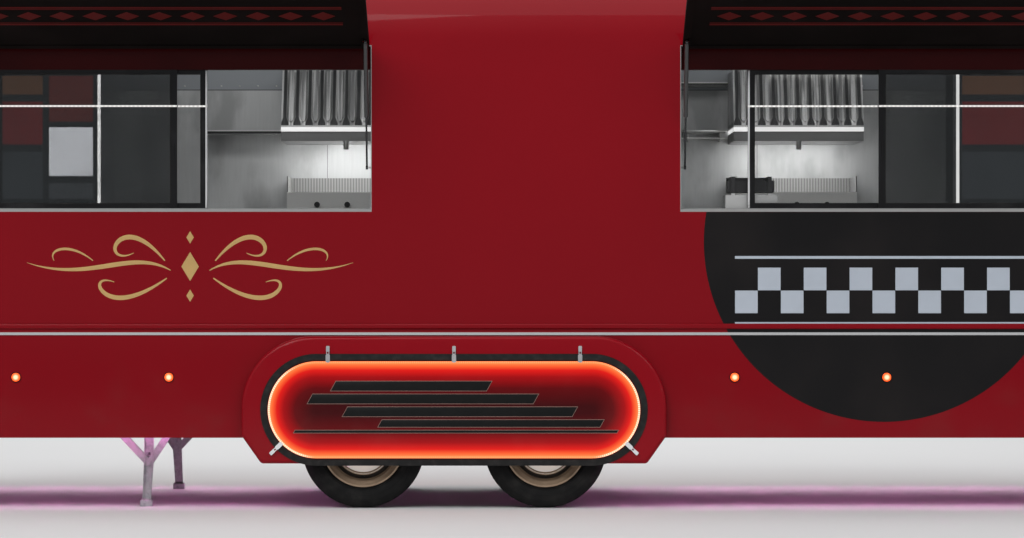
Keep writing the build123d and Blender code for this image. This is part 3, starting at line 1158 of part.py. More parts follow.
def kitchen():
    save("service_counter", counter(-1))
    save("cooking_counter", counter(1))
    save("hoods", [hood(ahead) for ahead in HOOD_AT.values()])
    shelves = []
    for name, gap, width, drop in SHELVES:
        end = HOOD_AT[name] - HOOD_WIDTH / 2 - gap
        top = EAVES_HEIGHT - drop
        shelves.append(block(end - width, end, INNER_SIDE - SHELF_DEPTH, INNER_SIDE, top - SHELF_THICKNESS, top))
    save("wall_shelves", shelves)
    save("appliances", [contact_grill()] + [griddle(ahead) for ahead in HOOD_AT.values()])


# Roof cowls over the hoods' ducts

COWL_FLANGE = 12.0
COWL_RISE = 90.0
COWL_CAP = 60.0
COWL_BRIM = 20.0


def roof_cowls():
    neck = COWL_NECK - 0.5
    brim = COWL_RADIUS + COWL_BRIM
    profile = [(0, 0), (neck, 0), (neck, WALL), (COWL_RADIUS, WALL), (COWL_RADIUS, WALL + COWL_FLANGE),
               (neck, WALL + COWL_FLANGE), (neck, COWL_RISE), (brim, COWL_RISE),
               (brim, COWL_RISE + COWL_CAP / 3), (brim * 0.8, COWL_RISE + COWL_CAP * 0.8),
               (brim * 0.45, COWL_RISE + COWL_CAP), (0, COWL_RISE + COWL_CAP)]
    save("roof_cowls", [Pos(ahead, COWL_ACROSS, ROOF_HEIGHT - WALL) * turned(profile)
                        for ahead in HOOD_AT.values()])


body_shell()
belt_trim()
service_openings()
hatches()
wheel_covers()
wheels()
chassis()
drawbar()
coupling()
axles()
steadies()
jockey()
entry_door()
lamps()
kitchen()
roof_cowls()
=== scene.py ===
from math import cos, pi, radians, sin, tau

import bmesh
import bpy
from mathutils import Matrix, Vector


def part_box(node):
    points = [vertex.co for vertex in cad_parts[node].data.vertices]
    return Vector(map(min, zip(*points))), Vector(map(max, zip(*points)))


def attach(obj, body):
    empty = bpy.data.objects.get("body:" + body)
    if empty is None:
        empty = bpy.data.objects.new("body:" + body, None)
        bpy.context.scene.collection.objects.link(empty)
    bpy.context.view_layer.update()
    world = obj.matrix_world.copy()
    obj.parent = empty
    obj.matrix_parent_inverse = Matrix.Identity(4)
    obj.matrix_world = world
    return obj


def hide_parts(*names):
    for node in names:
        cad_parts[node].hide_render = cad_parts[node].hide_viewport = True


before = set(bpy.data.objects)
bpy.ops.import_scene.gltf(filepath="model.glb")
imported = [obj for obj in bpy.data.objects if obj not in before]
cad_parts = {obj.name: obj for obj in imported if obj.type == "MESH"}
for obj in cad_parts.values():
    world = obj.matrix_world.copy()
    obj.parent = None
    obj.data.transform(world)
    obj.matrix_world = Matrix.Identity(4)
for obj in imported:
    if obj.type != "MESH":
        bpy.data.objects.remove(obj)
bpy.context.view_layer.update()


# Body shell: two rounded end caps, two flat walls, skirts and a roof with a rolled edge, all glass
# fibre on foam. Outside it is crimson paint under clear lacquer, inside it is lined with stainless
# sheet, and below the floor it is sprayed with black underseal.

CRIMSON = (0.215, 0.0012, 0.0062)
LACQUER = 0.3
LINING = (0.66, 0.67, 0.67)
UPPER_LINING = (0.34, 0.36, 0.38)
SEALANT = (0.10, 0.10, 0.10)
SHEET_SEAM_Z = 1.826
SHEET_WIDTH = 1.22
BODY_JOINTS = (-8.280, -1.680)
UNDERSEAL = (0.018, 0.017, 0.017)
ROAD_DUST = (0.12, 0.07, 0.055)
SKIRT_CLEARANCE = 0.363
MILLIMETRE = 0.001
shell_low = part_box("rear_cap")[0]
shell_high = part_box("front_cap")[1]
shell_middle = (shell_low + shell_high) / 2
floor_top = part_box("floor_deck")[1].z
ground = shell_low.z - SKIRT_CLEARANCE


def feed(tree, socket, value):
    """Links a socket, or sets its own value; a colour may leave out its alpha."""
    if isinstance(value, bpy.types.NodeSocket):
        tree.links.new(value, socket)
    elif socket.type == "RGBA":
        socket.default_value = (*value[:3], 1.0)
    else:
        socket.default_value = value


def wire(tree, kind, inputs=None, out=0, **settings):
    """Adds one shader node, sets its options, feeds its sockets and gives one of its outputs."""
    made = tree.nodes.new("ShaderNode" + kind)
    for option, value in settings.items():
        setattr(made, option, value)
    for socket, value in (inputs or {}).items():
        feed(tree, made.inputs[socket], value)
    return made.outputs[out]


def reckon(operation, *values):
    """One step of arithmetic, in the shader that its values come from."""
    tree = next(value.id_data for value in values if isinstance(value, bpy.types.NodeSocket))
    return wire(tree, "Math", dict(enumerate(values)), operation=operation)


def times(first, second):
    """One value times another."""
    return reckon("MULTIPLY", first, second)


def rest_of(share):
    """What a share leaves of one."""
    return reckon("SUBTRACT", 1.0, share)


def over(value, limit):
    """One where a value is over its limit, nothing elsewhere."""
    return reckon("GREATER_THAN", value, limit)


def under(value, limit):
    """One where a value is under its limit, nothing elsewhere."""
    return reckon("LESS_THAN", value, limit)


def near(value, middle, reach):
    """One where a value is within reach of the middle, nothing elsewhere."""
    return reckon("COMPARE", value, middle, reach)


def from_step(value, pitch):
    """How far a value is from the nearest whole number of pitches."""
    return reckon("PINGPONG", value, pitch / 2)


def ramp(value, low, high, from_share=0.0, to_share=1.0):
    """A smooth rise from one share to another while the value goes from low to high."""
    return wire(value.id_data, "MapRange", {"Value": value, "From Min": low, "From Max": high,
                                            "To Min": from_share, "To Max": to_share},
                interpolation_type="SMOOTHSTEP")


def tint(share, first, second):
    """Mixes two colours by a share."""
    made = share.id_data.nodes.new("ShaderNodeMix")
    made.data_type = "RGBA"
    for socket, value in ((0, share), (6, first), (7, second)):
        feed(share.id_data, made.inputs[socket], value)
    return made.outputs[2]


def shade(colour, share):
    """The same colour, darker or lighter."""
    return tuple(share * part for part in colour)


def place(tree, axis=None, kind="Object"):
    """The point on the piece in the trailer's own metres, or only its X, Y or Z; with kind Normal, the
    way that the surface faces there."""
    spot = wire(tree, "TexCoord", out=kind)
    return wire(tree, "SeparateXYZ", {"Vector": spot}, out=axis) if axis else spot


def cloud(tree, scale, stretch=(1, 1, 1), detail=3.0):
    """Soft mottling, with its scale in patches to the metre and a stretch along the axes."""
    spread = wire(tree, "Mapping", {"Vector": place(tree), "Scale": stretch})
    return wire(tree, "TexNoise", {"Vector": spread, "Scale": scale, "Detail": detail})


def patches(tree, scale, detail, low, high, stretch=(1, 1, 1)):
    """Mottling that is nothing where the cloud is thinner than low and whole where it passes high."""
    return ramp(cloud(tree, scale, stretch, detail), low, high)


def put(tree, socket, value):
    """Sets or links one socket of the finish's own shader."""
    feed(tree, tree.nodes["Principled BSDF"].inputs[socket], value)


def finish(name, sockets):
    """A new material with its shader's sockets set; gives the material and its tree."""
    material = bpy.data.materials.new(name)
    material.use_nodes = True
    for socket, value in sockets.items():
        put(material.node_tree, socket, value)
    return material, material.node_tree


def paint(share, first, second):
    """Gives the finish its colour, mixed of two by a share."""
    put(share.id_data, "Base Color", tint(share, first, second))


def relief(height, depth, strength=1.0):
    """Bump of a real depth in millimetres."""
    bump = {"Height": height, "Distance": depth * MILLIMETRE, "Strength": strength}
    put(height.id_data, "Normal", wire(height.id_data, "Bump", bump, out="Normal"))


def dress(material, *nodes):
    """Gives CAD pieces their finish."""
    for name in nodes:
        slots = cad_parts[name].data.materials
        slots.clear()
        slots.append(material)


def lacquered(name, colour, lined=False):
    """Coloured paint under clear lacquer: faint orange peel, dust low down, and where it is lined,
    sheet metal on the faces that look into the kitchen and underseal below the floor."""
    material, tree = finish(name, {"Coat Weight": LACQUER, "Coat Roughness": 0.05, "Coat IOR": 1.4,
                                   "Specular IOR Level": 0.05})
    x, z = place(tree, "X"), place(tree, "Z")
    low_down = ramp(z, ground + 0.95, ground + 0.25, 0.0, 0.12)
    dust = times(low_down, patches(tree, 5.0, 6.0, 0.45, 0.8))
    fade = tint(patches(tree, 0.9, 3.0, 0.35, 0.7), colour, shade(colour, 0.95))
    coat = tint(dust, fade, ROAD_DUST)
    rough = reckon("MULTIPLY_ADD", dust, 0.6, 0.36)
    relief(cloud(tree, 240.0, detail=1.0), 0.05, 0.35)
    if not lined:
        put(tree, "Base Color", coat)
        put(tree, "Roughness", rough)
        return material
    away = wire(tree, "VectorMath", {0: place(tree), 1: tuple(shell_middle)}, operation="SUBTRACT")
    facing = wire(tree, "VectorMath", {0: away, 1: place(tree, kind="Normal")},
                  operation="DOT_PRODUCT", out="Value")
    outside = over(facing, 0.0)
    inside = rest_of(outside)
    above = over(z, floor_top - 0.02)
    upright_seam = under(from_step(x, SHEET_WIDTH), 0.0012)
    seam = reckon("MAXIMUM", upright_seam, near(z, SHEET_SEAM_Z, 0.0025))
    drawn = tint(cloud(tree, 30.0, (3, 1, 0.2)), LINING, shade(LINING, 0.86))
    wiped = patches(tree, 2.6, 6.0, 0.42, 0.62, (1.4, 1, 0.7))
    sheet = tint(wiped, drawn, shade(LINING, 0.62))
    sheet = tint(over(z, SHEET_SEAM_Z), sheet, UPPER_LINING)
    inner = tint(above, UNDERSEAL, tint(seam, sheet, SEALANT))
    for joint in BODY_JOINTS:
        coat = tint(near(x, joint, 0.0014), coat, shade(colour, 0.15))
    paint(outside, inner, coat)
    put(tree, "Metallic", times(inside, times(above, 0.35)))
    put(tree, "Roughness", reckon("MAXIMUM", rough, times(inside, 0.42)))
    put(tree, "Coat Weight", times(outside, LACQUER))
    return material


dress(lacquered("crimson_shell", CRIMSON, lined=True), "rear_cap", "front_cap", "roof_shell",
      "left_wall", "service_wall", "side_skirts")


# Floor and wheel boxes: phenolic ply under studded vinyl, and pressed steel boxes over the wheels,
# sprayed with the same underseal as the belly.

STUD_PITCH = 0.026

vinyl, tree = finish("studded_vinyl", {"Roughness": 0.55})
upper = over(place(tree, "Z"), floor_top - 0.001)
studs = wire(tree, "TexVoronoi", {"Vector": place(tree), "Scale": 1 / STUD_PITCH, "Randomness": 0.0})
trodden = tint(patches(tree, 3.0, 6.0, 0.4, 0.75), (0.24, 0.24, 0.25), (0.13, 0.125, 0.12))
paint(upper, (0.055, 0.042, 0.03), trodden)
relief(times(ramp(studs, 0.36, 0.28), upper), 0.8)
dress(vinyl, "floor_deck")

underseal, tree = finish("underseal", {"Roughness": 0.8})
paint(patches(tree, 6.0, 5.0, 0.4, 0.75), UNDERSEAL, (0.07, 0.058, 0.05))
relief(cloud(tree, 160.0, detail=2.0), 0.9)
dress(underseal, "wheel_boxes")


# Belt trim: a half-round bead painted with the body, over a flat polished aluminium strip, both
# screwed through the belt line and broken only by the rear door.

STRIP_HEIGHT = 0.0165
ALUMINIUM = (0.72, 0.725, 0.73)


def roughen(share, more, least):
    """Gives the finish its roughness, which grows with a share."""
    put(share.id_data, "Roughness", reckon("MULTIPLY_ADD", share, more, least))


def fed(tree, socket):
    """What a socket of the finish's shader has now, a link or its own value."""
    now = tree.nodes["Principled BSDF"].inputs[socket]
    return now.links[0].from_socket if now.is_linked else now.default_value


def brushed(name, colour, rough, along=(0.02, 1, 1), lines=900.0, depth=0.02):
    """Bright metal with fine drawn lines along one axis, fainter cloudy marks and small scuffs."""
    material, tree = finish(name, {"Metallic": 1.0})
    drawn = cloud(tree, lines, along, detail=2.0)
    handled = patches(tree, 4.0, 5.0, 0.4, 0.8)
    paint(handled, colour, shade(colour, 0.86))
    roughen(drawn, 0.16, reckon("MULTIPLY_ADD", handled, 0.10, rough - 0.08))
    relief(drawn, depth, 0.6)
    return material


belt_finish = lacquered("belt_bead_and_strip", CRIMSON)
tree = belt_finish.node_tree
strip = under(place(tree, "Z"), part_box("belt_trim")[0].z + STRIP_HEIGHT)
paint(strip, fed(tree, "Base Color"), ALUMINIUM)
put(tree, "Metallic", strip)
roughen(strip, -0.14, 0.36)
dress(belt_finish, "belt_trim")


# Black disc on the service side: one round of cut vinyl under the front opening, laid over wall and
# skirt before the trim went on, with a plain chequered band across it.

wall_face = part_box("service_wall")[0].y
sill_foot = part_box("opening_liners")[0].z
DISC_CENTRE = Vector((-3.137, wall_face, 0.942))
DISC_RADIUS = 0.927
VINYL = 0.0006
BAND_Z = 0.692
BAND_SQUARE = 0.118
BAND_COLUMNS = 13
BAND_LINE = 0.014
BAND_LINE_OFFSET = 0.17
SQUARE_SIDE = 0.988 * BAND_SQUARE
SLATE_GREY = (0.46, 0.51, 0.58)
CREASE = radians(32)


def shown(name, data):
    """A new object of a mesh, a lamp or a camera, linked to the scene."""
    made = bpy.data.objects.new(name, data)
    bpy.context.scene.collection.objects.link(made)
    return made


def keep(name, build, material, body="root", replaced=()):
    """Makes a finished piece of a bmesh: normals out, creased by angle, dressed, on its body."""
    bmesh.ops.recalc_face_normals(build, faces=build.faces)
    mesh = bpy.data.meshes.new(name)
    build.to_mesh(mesh)
    build.free()
    mesh.shade_smooth()
    mesh.set_sharp_from_angle(angle=CREASE)
    mesh.materials.append(material)
    piece = shown(name, mesh)
    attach(piece, body)
    if replaced:
        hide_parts(*replaced)


def thicken(build, path, faces=None):
    """Pulls faces out along a path; a loose sheet becomes a closed plate."""
    made = bmesh.ops.extrude_face_region(build, geom=faces or build.faces[:])
    moved = [v for v in made["geom"] if isinstance(v, bmesh.types.BMVert)]
    bmesh.ops.translate(build, verts=moved, vec=path)


def plate(build, low, high, bevel=0.0, steps=2):
    """A box between two corners, its edges rounded."""
    size = Vector(high) - Vector(low)
    middle = Matrix.Translation((Vector(high) + Vector(low)) / 2)
    made = bmesh.ops.create_cube(build, size=1.0, matrix=middle @ Matrix.Diagonal((*size, 1.0)))
    if bevel:
        edges = {e for v in made["verts"] for e in v.link_edges}
        bmesh.ops.bevel(build, geom=list(edges), offset=bevel, segments=steps, profile=0.5,
                        affect="EDGES", material=-1)


upright = Matrix.Rotation(radians(90), 4, "X")


def rectangle(build, at, width, height):
    """A flat rectangle round its place, in that place's own X and Y."""
    return bmesh.ops.create_grid(build, x_segments=1, y_segments=1, size=0.5,
                                 matrix=at @ Matrix.Diagonal((width, height, 1, 1)))


def tile(build, across, up, width, height):
    """A flat rectangle on the vinyl of the service side."""
    rectangle(build, Matrix.Translation((across, wall_face - VINYL, up)) @ upright, width, height)


vinyl_black, tree = finish("cut_vinyl_black", {"Roughness": 0.30, "Specular IOR Level": 0.15})
paint(patches(tree, 2.0, 3.0, 0.35, 0.75), (0.006, 0.0055, 0.006), (0.012, 0.010, 0.010))
relief(cloud(tree, 500.0, detail=1.0), 0.02, 0.4)

disc = bmesh.new()
bmesh.ops.create_circle(disc, cap_ends=True, radius=DISC_RADIUS, segments=180,
                        matrix=Matrix.Translation(DISC_CENTRE) @ upright)
bmesh.ops.bisect_plane(disc, geom=disc.verts[:] + disc.edges[:] + disc.faces[:], clear_outer=True,
                       plane_co=(0, 0, sill_foot - 0.0005), plane_no=(0, 0, 1))
thicken(disc, (0, -VINYL, 0))
keep("black_disc", disc, vinyl_black)

vinyl_grey, tree = finish("cut_vinyl_grey", {"Roughness": 0.42})
paint(cloud(tree, 8.0), SLATE_GREY, shade(SLATE_GREY, 0.88))
band = bmesh.new()
for column in range(BAND_COLUMNS):
    tile(band, DISC_CENTRE.x + (column - (BAND_COLUMNS - 1) / 2) * BAND_SQUARE,
         BAND_Z + (column % 2 - 0.5) * BAND_SQUARE, SQUARE_SIDE, SQUARE_SIDE)
for offset in (-BAND_LINE_OFFSET, BAND_LINE_OFFSET):
    tile(band, DISC_CENTRE.x, BAND_Z + offset, BAND_COLUMNS * BAND_SQUARE, BAND_LINE)
thicken(band, (0, -VINYL / 2, 0))
keep("disc_chequer_band", band, vinyl_grey)


# Gold scrollwork on the service side: a sign painter's mirrored pinstripe in enamel, each stroke
# thick in the middle and drawn out to a point.

SCROLL_CENTRE = Vector((-6.71, wall_face, 0.815))
GOLD = (0.60, 0.38, 0.13)
BRUSH_FLATNESS = 0.06
ENAMEL = 0.001
SCROLLS = [
    # points across and up from the middle, then the stroke's half width at each point
    ([(0.10, -0.02), (0.30, 0.10), (0.52, -0.09), (0.84, 0.02)], [0.002, 0.017, 0.013, 0.0008]),
    ([(0.13, 0.03), (0.26, 0.19), (0.44, 0.13), (0.37, 0.03), (0.29, 0.07)],
     [0.003, 0.015, 0.010, 0.006, 0.0015]),
    ([(0.12, -0.06), (0.30, -0.19), (0.50, -0.15), (0.47, -0.05), (0.39, -0.08)],
     [0.003, 0.014, 0.010, 0.006, 0.0015]),
    ([(0.50, 0.03), (0.62, 0.13), (0.74, 0.09), (0.70, 0.03)], [0.002, 0.009, 0.007, 0.0012]),
]
LOZENGES = [
    # height above the middle, half height
    (0, 0.075), (0.15, 0.032), (-0.15, 0.032),
]

strokes = bpy.data.curves.new("scrollwork", "CURVE")
strokes.dimensions = "3D"
strokes.bevel_depth = 1.0
strokes.bevel_resolution = 2
strokes.resolution_u = 14
strokes.use_fill_caps = True
for side in (-1, 1):
    for points, widths in SCROLLS:
        stroke = strokes.splines.new("NURBS")
        stroke.points.add(len(points) - 1)
        for point, (across, up), width in zip(stroke.points, points, widths):
            point.co = (side * across, 0, up, 1)
            point.radius = width
        stroke.order_u = 4
        stroke.use_endpoint_u = True
holder = bpy.data.objects.new("scrollwork", strokes)
mesh = bpy.data.meshes.new_from_object(holder)
bpy.data.objects.remove(holder)
scroll = bmesh.new()
scroll.from_mesh(mesh)
bpy.data.meshes.remove(mesh)
bmesh.ops.scale(scroll, vec=(1, BRUSH_FLATNESS, 1), verts=scroll.verts)
bmesh.ops.translate(scroll, vec=SCROLL_CENTRE, verts=scroll.verts)
for up, half in LOZENGES:
    at = Matrix.Translation(SCROLL_CENTRE + Vector((0, 0, up)))
    bmesh.ops.create_circle(scroll, cap_ends=True, radius=half, segments=4,
                            matrix=at @ upright @ Matrix.Diagonal((0.6, 1, 1, 1)))
loose = [f for f in scroll.faces if all(e.is_boundary for e in f.edges)]
thicken(scroll, (0, -ENAMEL, 0), loose)
gold_enamel, tree = finish("gold_enamel", {"Roughness": 0.38, "Metallic": 0.25, "Coat Weight": 0.5})
paint(cloud(tree, 12.0), GOLD, shade(GOLD, 0.8))
keep("gold_scrollwork", scroll, gold_enamel)


# Service openings: an extruded aluminium liner with its sill and track under a header painted dark
# maroon as painted shade, black anodised sliding sashes with bright pull edges and rubber round the
# glass, and white light bars.

aluminium = brushed("drawn_aluminium", ALUMINIUM, 0.34)
dress(brushed("liner_aluminium", (0.39, 0.39, 0.385), 0.42), "opening_liners")
# painted shade: the header, crimson like the body, is painted dark maroon for the shade it lies in
header_painted_shade = lacquered("header_maroon_painted_shade", (0.030, 0.0012, 0.0016))
put(header_painted_shade.node_tree, "Coat Weight", 0.1)
dress(header_painted_shade, "header_panels")

black_metal, tree = finish("black_anodised", {"Metallic": 0.4, "Specular IOR Level": 0.2})
paint(patches(tree, 5.0, 5.0, 0.45, 0.8), (0.012, 0.012, 0.013), (0.03, 0.03, 0.032))
roughen(cloud(tree, 60.0), 0.12, 0.28)
dress(black_metal, "window_sashes")

# the outer sashes, whose glass stands further out than this, have tinted panes
TINTED_BEYOND = -1.056
window_glass, tree = finish("window_glass", {
    "Base Color": (0.012, 0.015, 0.016), "Roughness": 0.02, "IOR": 1.45})
tinted = under(place(tree, "Y"), TINTED_BEYOND)
smears = ramp(cloud(tree, 4.0, detail=6.0), 0.5, 0.85, 0.07, 0.12)
put(tree, "Alpha", reckon("MULTIPLY_ADD", tinted, 0.55, smears))
dress(window_glass, "window_glass", "door_glass")


def lit(name, colour, strength, dot_pitch=0.0):
    """A diffused light strip; with a pitch, brighter over each diode along X."""
    material, tree = finish(name, {"Base Color": shade(colour, 0.3), "Roughness": 0.35,
                                   "Emission Strength": strength})
    glow = cloud(tree, 30.0)
    if dot_pitch:
        from_dot = from_step(place(tree, "X"), dot_pitch)
        glow = ramp(from_dot, 0.0, dot_pitch / 2, 1.25, 0.0)
    put(tree, "Emission Color", tint(times(glow, 0.8), shade(colour, 0.6), colour))
    return material


dress(lit("white_light_bar", (1.0, 0.98, 0.95), 0.8, 0.022), "sash_lights")

sash_low, sash_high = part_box("window_sashes")
SASH_TRACK = 0.022
SASH_DEPTH = 0.018
EDGE_WIDTH, EDGE_OUT, EDGE_SHORT = 0.010, 0.003, 0.002
INNER_ENDS = [
    # free end of each inner sash, and the way that the sash lies from it
    (-6.628, -1), (-3.832, 1),
]
pulls = bmesh.new()
for end, side in INNER_ENDS:
    face = sash_low.y + SASH_TRACK
    left, right = sorted((end, end + side * EDGE_WIDTH))
    plate(pulls, (left, face - EDGE_OUT, sash_low.z + EDGE_SHORT),
          (right, face + 0.0005, sash_high.z - EDGE_SHORT), 0.0012)
keep("sash_pull_edges", pulls, aluminium)

SASH_SPANS = [
    # rear end, front end, track of each sash, in metres
    (-7.880, -6.783, 0), (-7.725, -6.628, 1), (-3.832, -2.771, 1), (-3.157, -2.079, 0),
]
STILE = 0.031
LOWER_RAIL, UPPER_RAIL = 0.022, 0.018
GASKET = 0.006
rubber, tree = finish("black_rubber", {"Roughness": 0.62, "Specular IOR Level": 0.25})
paint(patches(tree, 25.0, 5.0, 0.4, 0.8), (0.006, 0.006, 0.006), (0.022, 0.020, 0.019))
relief(cloud(tree, 900.0, detail=2.0), 0.05, 0.5)


def border(build, low, high, width, depth, corner=0.0, axis="Y"):
    """A rectangular ring of a given width inside two corners of a face, pulled out to its depth."""
    size = Vector(high) - Vector(low)
    middle = (Vector(high) + Vector(low)) / 2
    if axis == "Y":
        stand, spread, path = upright, (size.x, size.z), (0, -depth, 0)
    else:
        stand = Matrix.Rotation(radians(-90), 4, "Y") @ Matrix.Rotation(radians(-90), 4, "Z")
        spread, path = (size.y, size.z), (-depth, 0, 0)
    before = set(build.faces)
    sheet = rectangle(build, Matrix.Translation(middle) @ stand, *spread)
    if corner:
        bmesh.ops.bevel(build, geom=sheet["verts"], offset=corner, segments=5, profile=0.5,
                        affect="VERTICES", material=-1)
    inside = [f for f in build.faces if f not in before]
    bmesh.ops.inset_region(build, faces=inside, thickness=width, use_even_offset=True, use_boundary=True)
    bmesh.ops.delete(build, geom=inside, context="FACES")
    thicken(build, path, [f for f in build.faces if f not in before])


gaskets = bmesh.new()
for rear, front, track in SASH_SPANS:
    face = sash_low.y + track * SASH_TRACK + SASH_DEPTH / 2 - 0.002
    border(gaskets, (rear + STILE, face, sash_low.z + LOWER_RAIL),
           (front - STILE, face, sash_high.z - UPPER_RAIL), GASKET, 0.0035)
keep("glazing_gaskets", gaskets, rubber)

CUP_WIDE, CUP_TALL = 0.016, 0.09
CUP_UP = 0.30
FINGER_PULLS = [
    # middle of the stile and the sash's track
    (-6.7985, 0), (-6.6435, 1), (-3.8165, 1), (-3.1415, 0),
]
cups = bmesh.new()
for across, track in FINGER_PULLS:
    face = sash_low.y + track * SASH_TRACK
    foot = sash_low.z + CUP_UP - CUP_TALL / 2
    border(cups, (across - CUP_WIDE / 2, face, foot), (across + CUP_WIDE / 2, face, foot + CUP_TALL),
           0.003, 0.0025, 0.005)
keep("sash_finger_pulls", cups, black_metal)


# Menu boards: dark composite panels hung inside the glass, framed in white channel, with blank
# coloured fields where a menu would be printed.

board_low, board_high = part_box("menu_boards")
BOARDS = [
    # rear edge, front edge
    (-7.850, -7.182), (-2.752, -2.114),
]
CHANNEL = 0.016
FIELDS = [
    # across and up as shares of the board, width and height as shares, glow, colour
    (0.05, 0.79, 0.50, 0.13, 1.7, (0.16, 0.075, 0.038)),
    (0.60, 0.60, 0.34, 0.32, 1.7, (0.15, 0.022, 0.018)),
    (0.05, 0.44, 0.50, 0.30, 1.7, (0.20, 0.014, 0.016)),
    (0.60, 0.22, 0.34, 0.34, 3.9, (0.70, 0.72, 0.76)),
    (0.05, 0.06, 0.50, 0.33, 1.7, (0.050, 0.058, 0.066)),
    (0.60, 0.06, 0.34, 0.11, 1.7, (0.075, 0.083, 0.092)),
]


def backlit(name, colour, glow, scale=9.0):
    """Printed film over a light panel, a little cloudy."""
    material, tree = finish(name, {"Roughness": 0.5, "Specular IOR Level": 0.2,
                                   "Emission Strength": glow})
    film = tint(cloud(tree, scale, detail=4.0), colour, shade(colour, 0.85))
    put(tree, "Base Color", film)
    put(tree, "Emission Color", film)
    return material


dress(backlit("board_slate", (0.026, 0.031, 0.035), 0.9, 14.0), "menu_boards")

channel = bmesh.new()
for rear, front in BOARDS:
    border(channel, (rear, board_low.y, board_low.z), (front, board_low.y, board_high.z), CHANNEL, 0.004)
keep("board_channels", channel, backlit("white_channel", (0.80, 0.80, 0.79), 6.0))

for number, (across, up, width, height, glow, colour) in enumerate(FIELDS):
    card = backlit(f"board_field_{number}", colour, glow)
    field = bmesh.new()
    for rear, front in BOARDS:
        long, tall = front - rear, board_high.z - board_low.z
        low = (rear + across * long, board_low.y - 0.0015, board_low.z + up * tall)
        high = (rear + (across + width) * long, board_low.y, board_low.z + (up + height) * tall)
        plate(field, low, high, 0.0006, 1)
    keep(f"board_field_{number}", field, card)


# Hatches: aluminium skins on a frame, crimson outside and black inside, where a dark red double
# pinstripe and a row of lozenges run along the panel. They are shown propped open.

HATCH_PINS = {"hatch_rear": -6.830, "hatch_front": -3.130}
PIN_Y, PIN_Z = -1.164, 1.970
HATCH_OPEN = radians(-110)
HATCH_INSIDE = 0.042
DARK_RED = (0.10, 0.007, 0.006)
STRIPE_DROP = 0.43
STRIPE_HALF = 0.92
STRIPES = [
    # distance from the row of lozenges, half height
    (-0.105, 0.009), (0.105, 0.009), (-0.085, 0.004), (0.085, 0.004),
]
LOZENGE_PLACES = [0.165 * step for step in range(-5, 6)]
LOZENGE_HALVES = (0.062, 0.052)

hatch_skin = lacquered("hatch_skins", CRIMSON)
tree = hatch_skin.node_tree
outer_face = over(place(tree, "Z", "Normal"), 0.5)
faded_black = tint(patches(tree, 3.0, 5.0, 0.4, 0.8), (0.0055, 0.0040, 0.0036), (0.0090, 0.0065, 0.0060))
paint(outer_face, faded_black, fed(tree, "Base Color"))
put(tree, "Roughness", tint(outer_face, (0.75, 0.75, 0.75), fed(tree, "Roughness")))
put(tree, "Coat Weight", times(outer_face, LACQUER))
dress(hatch_skin, "hatch_rear", "hatch_front")

stripe_red, tree = finish("stripe_red", {"Roughness": 0.6, "Specular IOR Level": 0.15})
paint(cloud(tree, 10.0), DARK_RED, shade(DARK_RED, 0.8))


def on_hatch(pin_x):
    """From a shut hatch's own place, Y towards the kitchen and Z up from its pin, to its open place."""
    return Matrix.Translation((pin_x, PIN_Y, PIN_Z)) @ Matrix.Rotation(HATCH_OPEN, 4, "X")


for name, pin_x in HATCH_PINS.items():
    stripes = bmesh.new()
    for offset, half in STRIPES:
        middle = offset - STRIPE_DROP
        plate(stripes, (-STRIPE_HALF, HATCH_INSIDE, middle - half),
              (STRIPE_HALF, HATCH_INSIDE + VINYL, middle + half))
    for across in LOZENGE_PLACES:
        at = Matrix.Translation((across, HATCH_INSIDE, -STRIPE_DROP)) @ Matrix.Rotation(
            radians(-90), 4, "X") @ Matrix.Diagonal((*LOZENGE_HALVES, 1, 1))
        made = bmesh.ops.create_circle(stripes, cap_ends=True, radius=1.0, segments=4, matrix=at)
        sheet = [f for f in stripes.faces if all(v in made["verts"] for v in f.verts)]
        thicken(stripes, (0, VINYL, 0), sheet)
    stripes.transform(on_hatch(pin_x))
    keep(f"{name}_stripes", stripes, stripe_red, name)


# Hinges and gas struts: three folded aluminium butt hinges a hatch, held by domed screws, and a black
# tube with a dark nitrided rod at each end of the hatch, on ball studs.

hinge_metal = brushed("hinge_aluminium", ALUMINIUM, 0.38, (1, 0.1, 0.1))
dress(hinge_metal, "hatch_hinges", "door_hinges")
strut_black, tree = finish("strut_black", {"Coat Weight": 0.5, "Coat Roughness": 0.1})
paint(cloud(tree, 30.0), (0.010, 0.010, 0.011), (0.022, 0.022, 0.023))
roughen(cloud(tree, 80.0), 0.15, 0.25)
dress(strut_black, "strut_tubes_rear", "strut_tubes_front")


def plated(name, colour, rough):
    """Bright plating with the faintest haze and finger marks."""
    material, tree = finish(name, {"Metallic": 1.0})
    haze = patches(tree, 7.0, 6.0, 0.4, 0.8)
    paint(haze, colour, shade(colour, 0.88))
    roughen(haze, 0.10, rough)
    relief(cloud(tree, 120.0, detail=1.0), 0.02, 0.3)
    return material


chrome = plated("polished_chrome", (0.86, 0.86, 0.87), 0.06)
dress(plated("nitrided_rod", (0.055, 0.055, 0.058), 0.16), "strut_rods_rear", "strut_rods_front")

SCREW_RADIUS = 0.0042
HINGE_OFFSETS = (-0.850, 0.0, 0.850)
LEAF_SCREWS = [0.022 * step for step in (-2.6, -1.3, 0, 1.3, 2.6)]
LEAF_ROWS = (-0.026, -0.044)
LEAF_FACE = 0.005


